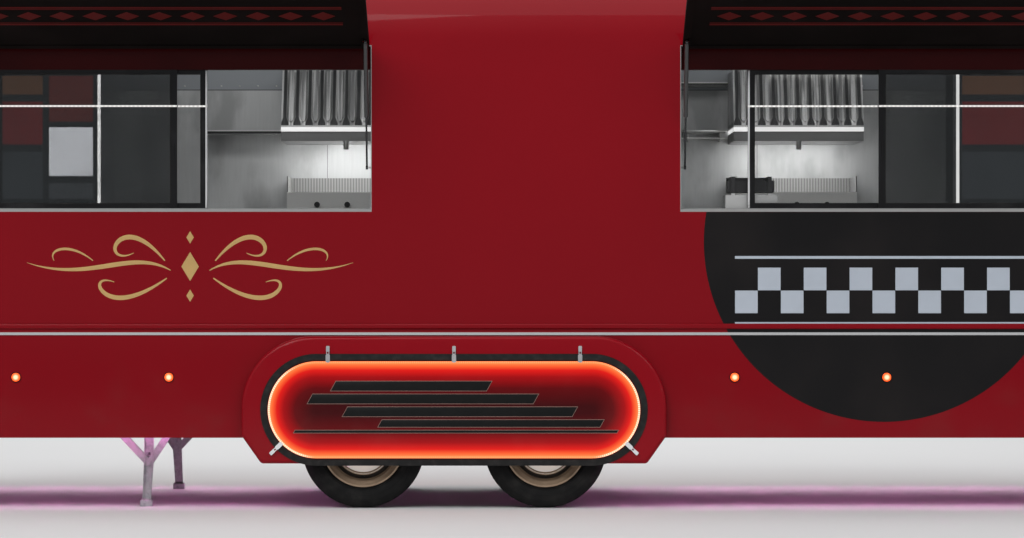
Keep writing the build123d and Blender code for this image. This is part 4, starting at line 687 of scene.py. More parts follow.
def screw_heads(build, points, normal, radius=SCREW_RADIUS):
    """Low domed screw heads with a cross recess, standing on their face."""
    turn = Vector((0, 0, 1)).rotation_difference(Vector(normal)).to_matrix().to_4x4()
    for point in points:
        at = Matrix.Translation(Vector(point)) @ turn
        head = bmesh.ops.create_cone(build, cap_ends=True, cap_tris=False, segments=12, radius1=radius,
                                     radius2=radius * 0.62, depth=radius * 0.5,
                                     matrix=at @ Matrix.Translation((0, 0, radius * 0.25)))
        top = max({f for v in head["verts"] for f in v.link_faces},
                  key=lambda f: (f.calc_center_median() - Vector(point)).dot(Vector(normal)))
        bmesh.ops.inset_region(build, faces=[top], thickness=radius * 0.34, depth=-radius * 0.2)


for name, pin_x in HATCH_PINS.items():
    screws = bmesh.new()
    screw_heads(screws, [(at + step, LEAF_FACE, up) for at in HINGE_OFFSETS for step in LEAF_SCREWS
                         for up in LEAF_ROWS], (0, -1, 0))
    screws.transform(on_hatch(pin_x))
    keep(f"{name}_hinge_screws", screws, chrome, name)


# Wheel arch surround, cover and latches: a glass fibre arch moulding, a crimson oval cover inside a
# black rubber seal, a ring of warm diodes round its edge, and five chrome toggle latches.

# painted highlight: the surround's crimson is painted a little lighter than the body's
dress(lacquered("surround_crimson_painted_highlight", (0.255, 0.0014, 0.0072)), "wheel_surrounds")
dress(rubber, "cover_seals")
dress(chrome, "cover_latches")

cover_low, cover_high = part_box("cover_panels")
COVER_RADIUS = (cover_high.z - cover_low.z) / 2
COVER_HALF = (cover_high.x - cover_low.x) / 2 - COVER_RADIUS
COVER_CENTRE = (cover_low + cover_high) / 2
ring_low, ring_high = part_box("led_rings")
RING_OUTER = (ring_high.z - ring_low.z) / 2
RING_WIDTH = 0.010
DIODE_PITCH = 0.011
PAINTED_GLOW_REACH = 0.22
PAINTED_GLOW_STEPS = [
    # share of the way in, colour of the light on the paint
    (0.0, (1.0, 0.26, 0.07)), (0.07, (0.97, 0.12, 0.028)), (0.16, (0.74, 0.010, 0.006)),
    (0.32, (0.32, 0.002, 0.003)), (0.58, (0.07, 0.0005, 0.0010)), (1.0, (0.0, 0.0, 0.0)),
]


def length_of(along, up):
    """The length of a step along and up."""
    return reckon("SQRT", reckon("ADD", times(along, along), times(up, up)))


def gap(value, mark):
    """How far a value is from a mark."""
    return reckon("ABSOLUTE", reckon("SUBTRACT", value, mark))


def oval_reach(tree):
    """A point's distance from the line between the oval's end centres, its way round, how far it is
    past the straights, and its height over the middle."""
    along = gap(place(tree, "X"), COVER_CENTRE.x)
    past = reckon("MAXIMUM", reckon("SUBTRACT", along, COVER_HALF), 0.0)
    up = reckon("SUBTRACT", place(tree, "Z"), COVER_CENTRE.z)
    round_end = times(reckon("ARCTAN2", up, past), RING_OUTER)
    round_it = reckon("ADD", reckon("MINIMUM", along, COVER_HALF), round_end)
    return length_of(past, up), round_it, past, up


# painted glow: the diodes' light on the cover's paint is painted on as the cover's own emission
cover_paint = lacquered("cover_crimson", (0.050, 0.0006, 0.0020))
tree = cover_paint.node_tree
out_front = over(reckon("ABSOLUTE", place(tree, "Y")), -cover_low.y - 0.002)
reach = oval_reach(tree)[0]
inward = reckon("SUBTRACT", RING_OUTER - RING_WIDTH, reach)
glow = tree.nodes.new("ShaderNodeValToRGB")
for n, (share, colour) in enumerate(PAINTED_GLOW_STEPS):
    stop = glow.color_ramp.elements[n] if n < 2 else glow.color_ramp.elements.new(share)
    stop.position = share
    stop.color = (*colour, 1)
tree.links.new(reckon("DIVIDE", inward, PAINTED_GLOW_REACH), glow.inputs[0])
put(tree, "Emission Color", glow.outputs[0])
put(tree, "Emission Strength", times(out_front, under(reach, RING_OUTER)))
dress(cover_paint, "cover_panels")

ring_light, tree = finish("diode_ring", {"Base Color": (0.25, 0.05, 0.02), "Roughness": 0.4,
                                         "Emission Strength": 1.3})
reach, round_it, past, up = oval_reach(tree)
diode = ramp(from_step(round_it, DIODE_PITCH), 0.0, DIODE_PITCH / 2)
hot = times(ramp(past, 0.0, 0.09), ramp(up, 0.235, 0.165))
warm = tint(diode, (0.95, 0.30, 0.10), (0.80, 0.17, 0.045))
white_hot = tint(diode, (1.0, 0.80, 0.62), (0.95, 0.40, 0.18))
put(tree, "Emission Color", tint(hot, warm, white_hot))
dress(ring_light, "led_rings")

SPEED_LINES = [
    # rear end, front end, height above the cover's middle, half height, in metres
    (-0.62, 0.18, 0.122, 0.024), (-0.74, 0.42, 0.056, 0.024), (-0.56, 0.62, -0.010, 0.024),
    (-0.38, 0.76, -0.070, 0.018), (-0.82, 0.84, -0.112, 0.006),
]
LEAN = 0.55
motif_black, tree = finish("motif_black", {"Specular IOR Level": 0.12})
paint(cloud(tree, 18.0, detail=4.0), (0.005, 0.006, 0.006), (0.010, 0.010, 0.010))
roughen(cloud(tree, 60.0), 0.15, 0.3)
motif_edge = plated("motif_edge", (0.34, 0.20, 0.17), 0.25)


def slanted(build, spans, grow, out, side):
    """Bars with leaning ends on a cover's face, each grown by an edge and pulled out from it."""
    lean = Matrix.Identity(4)
    lean[0][2] = LEAN * -side
    face = cover_low.y if side < 0 else cover_high.y
    for rear, front, up, half in spans:
        middle = Vector((COVER_CENTRE.x - side * (rear + front) / 2, face + side * out / 2,
                         COVER_CENTRE.z + up))
        size = Matrix.Diagonal((front - rear + 2 * grow, out, 2 * half + 2 * grow, 1))
        bmesh.ops.create_cube(build, size=1.0, matrix=Matrix.Translation(middle) @ lean @ size)


for side, hand in ((-1, "right"), (1, "left")):
    edging = bmesh.new()
    slanted(edging, SPEED_LINES, 0.003, 0.003, side)
    keep(f"speed_line_edges_{hand}", edging, motif_edge)
    bars = bmesh.new()
    slanted(bars, SPEED_LINES, 0.0, 0.006, side)
    bmesh.ops.bevel(bars, geom=bars.edges[:], offset=0.0012, segments=2, profile=0.5, affect="EDGES",
                    material=-1)
    keep(f"speed_lines_{hand}", bars, motif_black)


# Wheels: steel rims with a rolled flange, stepped well and a plain polished moon cap, a rubber valve
# in the well, and road tyres with four ribs, shoulder blocks and fine rings on the sidewall.

TYRE_RADIUS = 0.3175
WHEEL_OUT = 1.040
TREAD_DEPTH = 0.007
TREAD_STEPS = 90
RIM_STEPS = 96
SHOULDER_FROM = 0.3095
SHOULDER_SPAN = (0.050, 0.082)
STEEL_SHEET = 0.003
tyre_rubber, tree = finish("tyre_rubber", {"Roughness": 0.78, "Specular IOR Level": 0.2})
paint(patches(tree, 16.0, 6.0, 0.4, 0.8), (0.0055, 0.0055, 0.0055), (0.017, 0.016, 0.015))
relief(cloud(tree, 700.0, detail=2.0), 0.12, 0.5)
rim_gold, tree = finish("rim_gold", {"Metallic": 0.35, "Coat Weight": 0.2})
dulled = patches(tree, 14.0, 6.0, 0.4, 0.8)
paint(dulled, (0.40, 0.285, 0.19), (0.30, 0.21, 0.14))
roughen(dulled, 0.15, 0.34)
cap_chrome = plated("moon_cap_chrome", (0.90, 0.84, 0.76), 0.05)
# painted shade: the dish and its well are painted dark bronze for the shade deep in the well
well_painted_shade, tree = finish("well_bronze_painted_shade", {"Roughness": 0.5, "Metallic": 0.5})
paint(cloud(tree, 25.0, detail=5.0), (0.055, 0.038, 0.026), (0.022, 0.016, 0.012))
TYRE_PROFILE = [
    # radius and distance out from the wheel's middle, from the bead to the middle of the tread
    (0.1903, 0.0775), (0.2120, 0.0780), (0.2150, 0.0835), (0.2190, 0.0870), (0.2210, 0.0925),
    (0.2240, 0.0920), (0.2270, 0.0965), (0.2520, 0.0997), (0.2540, 0.0985), (0.2560, 0.0999),
    (0.2750, 0.0985), (0.2770, 0.0970), (0.2790, 0.0978), (0.2910, 0.0935), (0.3020, 0.0870),
    (0.3110, 0.0790), (0.3150, 0.0690), (0.3162, 0.0580), (0.3165, 0.0460), (0.3095, 0.0445),
    (0.3095, 0.0385), (0.3170, 0.0370), (0.3174, 0.0150), (0.3100, 0.0135), (0.3100, 0.0065),
    (0.3175, 0.0050), (0.3175, 0.0),
]
RIM_PROFILE = [
    # radius and distance out from the wheel's middle, from the flange's rolled lip inwards
    (0.1985, 0.0780), (0.2060, 0.0800), (0.2080, 0.0830), (0.2070, 0.0858), (0.2030, 0.0860),
    (0.1990, 0.0835), (0.1955, 0.0790), (0.1890, 0.0760), (0.1850, 0.0735), (0.1780, 0.0620),
    (0.1725, 0.0515), (0.1690, 0.0500),
]
BARREL_PROFILE = [
    # the back flange, the drop centre and the front bead seat
    (0.1985, -0.0780), (0.2080, -0.0800), (0.2080, -0.0840), (0.1980, -0.0840), (0.1880, -0.0760),
    (0.1860, -0.0300), (0.1730, -0.0060), (0.1700, 0.0180), (0.1740, 0.0420), (0.1860, 0.0600),
    (0.1890, 0.0740),
]
WELL_PROFILE = [
    # the step, the well round the cap and the back of the disc with its hub, painted dark as painted
    # shade
    (0.1690, 0.0500), (0.1665, 0.0475), (0.1660, 0.0180), (0.1640, 0.0160), (0.1500, 0.0160),
    (0.1480, 0.0180), (0.1480, 0.0570), (0.1375, 0.0590), (0.1375, 0.0120), (0.0460, 0.0100),
    (0.0460, -0.0400), (0.0210, -0.0400), (0.0210, 0.0040), (0.1500, 0.0080), (0.1690, 0.0100),
    (0.1690, 0.0500),
]
CAP_RADIUS = 0.137
CAP_FOOT = 0.070
CAP_RISE = 0.026
CAP_STEPS = 12
CAP_PROFILE = [
    # from the middle of its back over the rolled edge to the foot of the dome
    (0, 0.0600), (0.1372, 0.0600), (0.1460, 0.0565), (0.1480, 0.0575), (0.1484, 0.0605),
    (0.1462, 0.0632), (0.1410, 0.0650), (0.1385, 0.0675),
]
for turn in [n / CAP_STEPS * pi / 2 for n in range(CAP_STEPS + 1)]:
    CAP_PROFILE.append((CAP_RADIUS * cos(turn), CAP_FOOT + CAP_RISE * sin(turn)))
VALVE_STEPS = [
    # from, to and radius at the foot of the rubber stem and of its cap
    (0.014, 0.040, 0.0058), (0.040, 0.052, 0.0042),
]
VALVE_REACH = -0.157
WHEELS = [
    # name, place along the trailer, side
    ("right_rear", -5.820, -1), ("right_front", -4.880, -1), ("left_rear", -5.820, 1),
    ("left_front", -4.880, 1),
]


def turned(build, profile, steps, mirrored=False):
    """Spins a line of (radius, out) points about the Z axis; mirrored, the line is doubled across Z=0."""
    if mirrored:
        profile = profile + [(r, -out) for r, out in reversed(profile[:-1])]
    made = [build.verts.new((r, 0, out)) for r, out in profile]
    line = [build.edges.new(pair) for pair in zip(made, made[1:])]
    bmesh.ops.spin(build, geom=made + line, cent=(0, 0, 0), axis=(0, 0, 1), angle=tau, steps=steps,
                   use_merge=True)
    bmesh.ops.remove_doubles(build, verts=build.verts, dist=0.00002)


for name, along, side in WHEELS:
    hub = Matrix.Translation((along, side * WHEEL_OUT, ground + TYRE_RADIUS)) @ Matrix.Rotation(
        radians(-90 * side), 4, "X")
    body = f"wheel_{name}"

    tread = bmesh.new()
    turned(tread, TYRE_PROFILE, TREAD_STEPS, mirrored=True)
    bead = sorted((e for e in tread.edges if e.is_boundary), key=lambda e: e.verts[0].co.z)
    bmesh.ops.bridge_loops(tread, edges=bead)
    shoulder = []
    for face in tread.faces:
        middle = face.calc_center_median()
        step = int(middle.xy.angle_signed(Vector((1, 0))) / tau * TREAD_STEPS + TREAD_STEPS + 0.5)
        if (middle.xy.length > SHOULDER_FROM and step % 2
                and SHOULDER_SPAN[0] < abs(middle.z) < SHOULDER_SPAN[1]):
            shoulder.append(face)
    bmesh.ops.inset_individual(tread, faces=shoulder, thickness=0.0016, depth=-TREAD_DEPTH * 0.8)
    tread.transform(hub)
    keep(f"road_tyre_{name}", tread, tyre_rubber, body, (f"tyre_{name}",))

    rim = bmesh.new()
    turned(rim, RIM_PROFILE, RIM_STEPS)
    turned(rim, BARREL_PROFILE, RIM_STEPS)
    bmesh.ops.solidify(rim, geom=rim.faces[:], thickness=STEEL_SHEET)
    rim.transform(hub)
    keep(f"bright_rim_{name}", rim, rim_gold, body, (f"rim_{name}",))

    dish = bmesh.new()
    turned(dish, WELL_PROFILE, RIM_STEPS)
    dish.transform(hub)
    keep(f"wheel_dish_{name}", dish, well_painted_shade, body)

    cap = bmesh.new()
    turned(cap, CAP_PROFILE, RIM_STEPS)
    cap.transform(hub)
    keep(f"moon_cap_{name}", cap, cap_chrome, body)

    valve = bmesh.new()
    for low, high, radius in VALVE_STEPS:
        at = Matrix.Translation((0, VALVE_REACH, (low + high) / 2))
        bmesh.ops.create_cone(valve, cap_ends=True, segments=16, radius1=radius, radius2=radius * 0.85,
                              depth=high - low, matrix=at)
    valve.transform(hub)
    keep(f"valve_{name}", valve, rubber, body)


# Chassis, axles, drawbar, steadies and jockey wheel: rolled and welded steel, hot-dip galvanised
# together, so the whole frame shows the same grey spangle.

ZINC = (0.36, 0.37, 0.38)
zinc, tree = finish("galvanised_steel", {"Metallic": 0.85})
spangle = wire(tree, "TexVoronoi", {"Vector": place(tree), "Scale": 85.0}, out="Color")
flake = wire(tree, "RGBToBW", {"Color": spangle})
bloom = patches(tree, 7.0, 6.0, 0.45, 0.8)
paint(bloom, tint(flake, shade(ZINC, 0.75), shade(ZINC, 1.3)), (0.50, 0.50, 0.49))
roughen(flake, 0.2, reckon("MULTIPLY_ADD", bloom, 0.2, 0.36))
relief(cloud(tree, 60.0, detail=4.0), 0.15, 0.5)
dress(zinc, "chassis_rails", "cross_members", "drawbar", "axles", "steadies", "jockey_mount",
      "jockey_fork")

cast_black, tree = finish("cast_black", {"Coat Weight": 0.3, "Roughness": 0.45})
chips = patches(tree, 40.0, 7.0, 0.66, 0.72)
paint(chips, (0.014, 0.014, 0.015), (0.22, 0.21, 0.20))
put(tree, "Metallic", chips)
relief(cloud(tree, 220.0, detail=3.0), 0.3, 0.6)
dress(cast_black, "coupling_head")
dress(rubber, "jockey_wheel")


def turned_at(build, profile, steps, at):
    """Turns a profile about Z and stands it at its place."""
    before = set(build.verts)
    turned(build, profile, steps)
    bmesh.ops.transform(build, matrix=at, verts=[v for v in build.verts if v not in before])


def pointing(start, end):
    """A place at the start whose Z looks at the end."""
    path = Vector(end) - Vector(start)
    return Matrix.Translation(start) @ Vector((0, 0, 1)).rotation_difference(path).to_matrix().to_4x4()


GRIPS = [
    # start, end and radius of each rubber grip: coupling handle, brake lever, jockey crank
    ((-0.078, 0, 0.057), (-0.177, 0, 0.0914), 0.0155),
    ((-0.262, 0.045, 0.180), (-0.3115, 0.045, 0.2985), 0.0125),
    ((-0.700, 0.3303, 0.452), (-0.700, 0.3303, 0.5405), 0.0135),
]
GAITER_RIBS = 6
GAITER_REAR, GAITER_FRONT, GAITER_UP = -0.186, -0.114, -0.005
GAITER_COLLAR, GAITER_VALLEY, GAITER_CREST = 0.0305, 0.034, 0.043
grips = bmesh.new()
for start, end, radius in GRIPS:
    reach = (Vector(end) - Vector(start)).length
    turned_at(grips, [(0, 0), (radius * 0.8, 0), (radius, 0.003), (radius, reach - 0.006),
                      (radius * 0.7, reach), (0, reach)], 24, pointing(start, end))
pitch = (GAITER_FRONT - GAITER_REAR) / GAITER_RIBS
folds = [(GAITER_COLLAR, 0)]
for rib in range(GAITER_RIBS):
    for share, radius in ((0.1, GAITER_VALLEY), (0.5, GAITER_CREST), (0.9, GAITER_VALLEY)):
        folds.append((radius, (rib + share) * pitch))
folds += [(GAITER_COLLAR, GAITER_RIBS * pitch), (GAITER_COLLAR, 0)]
turned_at(grips, folds, 40, pointing((GAITER_REAR, 0, GAITER_UP), (GAITER_FRONT, 0, GAITER_UP)))
keep("drawbar_grips_and_gaiter", grips, rubber)

STEADIES = [(-6.940, -1), (-1.885, -1), (-6.940, 1), (-1.885, 1)]
STEADY_FACE = 0.9500
BOLT_HEIGHTS = (-0.209, -0.352)
BOLT_RADIUS = 0.0095
BOLT_HEAD = 0.008
bolts = bmesh.new()
for along, side in STEADIES:
    for up in BOLT_HEIGHTS:
        head = Matrix.Translation((along, side * STEADY_FACE, up)) @ upright
        bmesh.ops.create_cone(bolts, cap_ends=True, segments=6, radius1=BOLT_RADIUS, radius2=BOLT_RADIUS,
                              depth=BOLT_HEAD, matrix=head)
keep("steady_bolts", bolts, zinc)


# Rear door, lamps and number plate: a crimson door with a rubber-glazed window and a grab bar, round
# lamps in a column each side, corner-up triangles, and a blank white plate. Amber markers line the
# sides and pink diode strips light the ground.

door_skins = lacquered("door_skins", CRIMSON)
tree = door_skins.node_tree
room_side = over(place(tree, "X", "Normal"), 0.5)
drawn = tint(cloud(tree, 30.0, (1, 3, 0.2)), LINING, shade(LINING, 0.86))
paint(room_side, fed(tree, "Base Color"), drawn)
put(tree, "Metallic", times(room_side, 0.35))
put(tree, "Coat Weight", times(rest_of(room_side), LACQUER))
dress(door_skins, "entry_door")

MARKERS = (-7.607, -6.819, -3.905, -3.122, -2.340)
MARKER_UP = 0.245
amber, tree = finish("amber_marker", {"Roughness": 0.2, "Emission Strength": 1.5})
x = place(tree, "X")
from_axis = gap(x, MARKERS[0])
for along in MARKERS[1:]:
    from_axis = reckon("MINIMUM", from_axis, gap(x, along))
above_axis = reckon("SUBTRACT", place(tree, "Z"), MARKER_UP)
core = ramp(length_of(from_axis, above_axis), 0.018, 0.005)
orange = tint(cloud(tree, 60.0), (1.0, 0.10, 0.014), (0.85, 0.075, 0.010))
put(tree, "Base Color", orange)
put(tree, "Emission Color", tint(core, orange, (1.0, 0.66, 0.42)))
dress(amber, "side_markers")

lamp_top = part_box("tail_lamps")[1].z
LENS_HALF = 0.045
AMBER_DROP, CLEAR_DROP = 0.142, 0.242
lens_stack, tree = finish("tail_lenses", {"Roughness": 0.12, "Coat Weight": 1.0, "Coat Roughness": 0.02})
z = place(tree, "Z")
amber_row = near(z, lamp_top - AMBER_DROP, LENS_HALF)
clear_row = near(z, lamp_top - CLEAR_DROP, LENS_HALF)
paint(clear_row, tint(amber_row, (0.34, 0.004, 0.006), (0.85, 0.22, 0.02)), (0.72, 0.72, 0.72))
facets = wire(tree, "TexVoronoi", {"Vector": place(tree), "Scale": 190.0, "Randomness": 0.0})
relief(facets, 0.6, 0.7)
dress(lens_stack, "tail_lamps")

blank_plate, tree = finish("blank_plate", {"Roughness": 0.35, "Coat Weight": 0.3})
paint(cloud(tree, 40.0, detail=5.0), (0.78, 0.78, 0.76), (0.62, 0.61, 0.58))
relief(cloud(tree, 420.0), 0.05, 0.5)
dress(blank_plate, "number_plate")

rear_face = shell_low.x
REARWARD = (-1, 0, 0)
MARKER_FACE = 1.150
PLATE_FACE = -8.738
PLATE_SCREWS = [(PLATE_FACE, side * 0.235, 0.105) for side in (-1, 1)]
PLATE_LAMP_LOW, PLATE_LAMP_HIGH = (rear_face - 0.024, -0.050, 0.174), (rear_face, 0.050, 0.196)
LAMP_OUT = 0.640
LAMP_HEIGHTS = (0.370, 0.270, 0.170)
MARKER_RING = [(0.0222, 0), (0.0272, 0), (0.0272, 0.003), (0.0250, 0.0055), (0.0222, 0.0045), (0.0222, 0)]
LAMP_RING = [(0.0422, 0), (0.0480, 0), (0.0480, 0.004), (0.0460, 0.007), (0.0422, 0.006), (0.0422, 0)]


def facing_back(*spot):
    """A place whose Z looks rearwards."""
    return pointing(spot, Vector(spot) + Vector(REARWARD))


bezels = bmesh.new()
for side in (-1, 1):
    for along in MARKERS:
        turned_at(bezels, MARKER_RING, 32,
                  pointing((along, side * MARKER_FACE, MARKER_UP), (along, side * 2, MARKER_UP)))
    for up in LAMP_HEIGHTS:
        turned_at(bezels, LAMP_RING, 40, facing_back(rear_face, side * LAMP_OUT, up))
plate(bezels, PLATE_LAMP_LOW, PLATE_LAMP_HIGH, 0.004)
screw_heads(bezels, PLATE_SCREWS, REARWARD, 0.006)
keep("lamp_bezels", bezels, black_metal)

DRIP_LOW, DRIP_HIGH = (rear_face - 0.012, -0.42, 1.936), (rear_face, 0.42, 1.945)
drip = bmesh.new()
plate(drip, DRIP_LOW, DRIP_HIGH, 0.002)
keep("door_drip_rail", drip, aluminium)

DOOR_FACE = -8.736
KICK_FACE = DOOR_FACE - 0.0014
KICK_LOW, KICK_HIGH = (KICK_FACE, -0.335, 0.250), (DOOR_FACE, 0.315, 0.430)
KICK_SCREWS = [(KICK_FACE, across, up) for across in (-0.32, -0.01, 0.30) for up in (0.265, 0.415)]
LOCK_ROSE = [(0, 0.006), (0.010, 0.006), (0.011, 0.003), (0.018, 0.002), (0.019, 0), (0, 0)]
LOCK_PLACE = (DOOR_FACE, -0.310, 0.850)
DOOR_HINGE_FACE = -8.739
DOOR_HINGE_HEIGHTS = (0.4225, 1.0725, 1.7225)
HINGE_SCREWS = [(DOOR_HINGE_FACE, across, middle + step) for across in (0.345, 0.375)
                for middle in DOOR_HINGE_HEIGHTS for step in (-0.025, 0, 0.025)]
GLASS_FOOT = (DOOR_FACE, -0.203, 1.207)
GLASS_HEAD = (DOOR_FACE, 0.203, 1.733)
GLASS_CORNER = 0.07
door_rubber = bmesh.new()
border(door_rubber, GLASS_FOOT, GLASS_HEAD, 0.015, 0.003, GLASS_CORNER, "X")
keep("door_glazing_rubber", door_rubber, rubber, "entry_door")

door_steel = brushed("door_stainless", (0.40, 0.40, 0.395), 0.36, (1, 0.02, 1))
fittings = bmesh.new()
plate(fittings, KICK_LOW, KICK_HIGH, 0.0005, 1)
screw_heads(fittings, KICK_SCREWS, REARWARD)
screw_heads(fittings, HINGE_SCREWS, REARWARD)
turned_at(fittings, LOCK_ROSE, 32, facing_back(*LOCK_PLACE))
keep("door_fittings", fittings, door_steel, "entry_door")

dress(lit("pink_underglow", (1.0, 0.25, 0.72), 26.0, 0.02), "underglow_strips")


# Kitchen: folded stainless counters, extraction hoods with baffle filters, open shelves, a contact
# grill and griddles, and spun aluminium cowls on the roof over the hoods' ducts.

STAINLESS = (0.63, 0.63, 0.62)
stainless = brushed("kitchen_stainless", STAINLESS, 0.30)
dress(stainless, "service_counter", "cooking_counter")
dress(brushed("spun_aluminium", ALUMINIUM, 0.36, (1, 1, 0.02)), "roof_cowls")


def painted_over(share, colour, metal=0.0):
    """Lays a plain finish over part of a metal piece, by a share."""
    tree = share.id_data
    paint(share, fed(tree, "Base Color"), colour)
    kept = times(rest_of(share), fed(tree, "Metallic"))
    put(tree, "Metallic", reckon("MULTIPLY_ADD", share, metal, kept))


# hoods: streaks of painted reflection on the baffles, a rim under them painted bright with a glow as a
# painted highlight, a strip below it painted grey as painted shade, and painted shade in the slots
# between the baffles
HOOD_RIM = (1.568, 1.592)
HOOD_CENTRES = (-5.969, -3.467)
BAFFLE_PITCH = 0.0678
BAFFLE_BOTTOM = 1.602
BAFFLE_REFLECTION_GREYS = [(0.20, 0.20, 0.20), (0.94, 0.94, 0.93)]
hood_steel = brushed("hood_stainless", (0.70, 0.70, 0.69), 0.30, (1, 1, 0.02), 400.0, 0.006)
tree = hood_steel.node_tree
x, z = place(tree, "X"), place(tree, "Z")
forward_hood = over(x, sum(HOOD_CENTRES) / 2)
first_baffle = reckon("MULTIPLY_ADD", forward_hood, HOOD_CENTRES[1] - HOOD_CENTRES[0],
                      HOOD_CENTRES[0] + BAFFLE_PITCH / 2)
from_baffle = from_step(reckon("SUBTRACT", x, first_baffle), BAFFLE_PITCH)
widening = ramp(z, BAFFLE_BOTTOM + 0.050, BAFFLE_BOTTOM + 0.004, 0.0, 0.012)
painted_slot_shade = ramp(reckon("ADD", from_baffle, widening), 0.021, 0.028)
filters = over(z, BAFFLE_BOTTOM)
# painted reflection: streaks of light and dark grey over the baffles
painted_reflection_streaks = tint(patches(tree, 70.0, 3.0, 0.40, 0.60, (1, 0.03, 0.03)), *BAFFLE_REFLECTION_GREYS)
painted_over(times(filters, 0.7), painted_reflection_streaks, 0.25)
# painted shade in the slots between the baffles
painted_over(times(times(painted_slot_shade, filters), 0.95), (0.020, 0.021, 0.022))
# painted shade: the hood below the rim is painted flat grey
painted_over(under(z, HOOD_RIM[0]), (0.21, 0.21, 0.21))
# painted highlight: the rim is painted bright and given a glow, though it is no lamp
painted_glow_rim = near(z, sum(HOOD_RIM) / 2, (HOOD_RIM[1] - HOOD_RIM[0]) / 2)
painted_over(painted_glow_rim, (0.80, 0.80, 0.79))
put(tree, "Emission Color", (1.0, 1.0, 0.99))
put(tree, "Emission Strength", times(painted_glow_rim, 0.6))
dress(hood_steel, "hoods")

# shelves: a painted highlight along the rolled lip, and under it a front painted dark as painted shade
SHELF_TOPS = (1.590, 1.860)
shelf_steel = brushed("shelf_stainless", STAINLESS, 0.32)
tree = shelf_steel.node_tree
z = place(tree, "Z")
front = under(place(tree, "Y", "Normal"), -0.5)
painted_highlight_lip = reckon("MAXIMUM", *[near(z, top, 0.007) for top in SHELF_TOPS])
# painted shade over the shelf fronts, and a painted highlight along their lips
painted_over(times(front, rest_of(painted_highlight_lip)), (0.020, 0.020, 0.021))
painted_over(times(front, painted_highlight_lip), (0.80, 0.80, 0.79))
dress(shelf_steel, "wall_shelves")

# griddles with ribbed splash guards and black knobs, and a contact grill with a black lid
GRIDDLE_TOP = 1.235
GRIDDLE_FRONT = 0.630
GRILL_LID = 1.195
RIB_PITCH = 0.016
BLACK_ENAMEL = (0.014, 0.014, 0.015)
appliance_steel = brushed("appliance_steel", (0.60, 0.60, 0.59), 0.34)
tree = appliance_steel.node_tree
x, y, z = (place(tree, axis) for axis in "XYZ")
contact_grill = under(y, 0.0)
griddle = rest_of(contact_grill)
lid = times(contact_grill, over(z, GRILL_LID))
knob = times(griddle, under(y, GRIDDLE_FRONT - 0.001))
guard = times(griddle, over(z, GRIDDLE_TOP + 0.002))
body_panel = times(griddle, under(z, GRIDDLE_TOP + 0.002))
# painted shade: dark lines in each rib's groove on the splash guards
rib = ramp(from_step(x, RIB_PITCH), 0.002, 0.006)
painted_over(guard, tint(rib, (0.22, 0.22, 0.22), (0.40, 0.40, 0.39)), 0.3)
painted_over(body_panel, (0.84, 0.84, 0.82))
painted_over(reckon("MAXIMUM", lid, knob), BLACK_ENAMEL)
dress(appliance_steel, "appliances")

# rivets of the upper lining sheet, a second shelf with its hanging rod, the front hood's light batten,
# a grease cup under each hood, and the screws of the roof cowls
LINING_Y = 1.110
RIVET_FROM = -7.95
RIVET_PITCH = 0.104
RIVET_COUNT = 58
rivets = bmesh.new()
for n in range(RIVET_COUNT):
    at = Matrix.Translation((RIVET_FROM + n * RIVET_PITCH, LINING_Y - 0.001, SHEET_SEAM_Z + 0.023))
    bmesh.ops.create_cone(rivets, cap_ends=True, segments=10, radius1=0.0055, radius2=0.003, depth=0.003,
                          matrix=at @ upright)
keep("lining_rivets", rivets, stainless)

SHELF_REAR, SHELF_FRONT = -4.100, -3.842
SHELF_LENGTH = SHELF_FRONT - SHELF_REAR
SHELF_BRACKETS = (-4.06, -3.88)
ROD_Y, ROD_Z = 0.905, 1.545
ROD_RADIUS = 0.005
low_shelf = bmesh.new()
plate(low_shelf, (SHELF_REAR, 0.880, 1.578), (SHELF_FRONT, LINING_Y, SHELF_TOPS[0]), 0.002)
for along in SHELF_BRACKETS:
    plate(low_shelf, (along - 0.002, 0.900, 1.530), (along + 0.002, LINING_Y, 1.580), 0.0006, 1)
turned_at(low_shelf, [(0, 0), (ROD_RADIUS, 0), (ROD_RADIUS, SHELF_LENGTH), (0, SHELF_LENGTH)], 16,
          pointing((SHELF_REAR, ROD_Y, ROD_Z), (SHELF_FRONT, ROD_Y, ROD_Z)))
keep("low_shelf_and_rod", low_shelf, stainless)

BATTEN_LOW = (-3.640, 0.560, 1.898)
BATTEN_HIGH = (-3.110, 0.596, 1.912)
batten = bmesh.new()
plate(batten, BATTEN_LOW, BATTEN_HIGH, 0.003)
keep("hood_light_batten", batten, lit("hood_light", (1.0, 0.99, 0.97), 1.6))

CUP_PROFILE = [(0, -0.048), (0.012, -0.048), (0.014, -0.044), (0.016, 0), (0, 0)]
CUP_Y, CUP_Z = 0.462, 1.516
COWL_Y = 0.690
COWL_FLANGE_Z = 2.342
COWL_SCREW_RING = 0.138
cups = bmesh.new()
cowl_screws = bmesh.new()
for along in HOOD_CENTRES:
    turned_at(cups, CUP_PROFILE, 24, Matrix.Translation((along, CUP_Y, CUP_Z)))
    screw_heads(cowl_screws, [(along + COWL_SCREW_RING * cos(n * tau / 8),
                               COWL_Y + COWL_SCREW_RING * sin(n * tau / 8), COWL_FLANGE_Z)
                              for n in range(8)], (0, 0, 1), 0.005)
keep("hood_grease_cups", cups, stainless)
keep("cowl_screws", cowl_screws, stainless)


# Studio: a pale floor and a pale sky, broad soft lamps in front, above and behind, the kitchen's own
# lamps, and the camera at the photograph's place, square on to the service side.

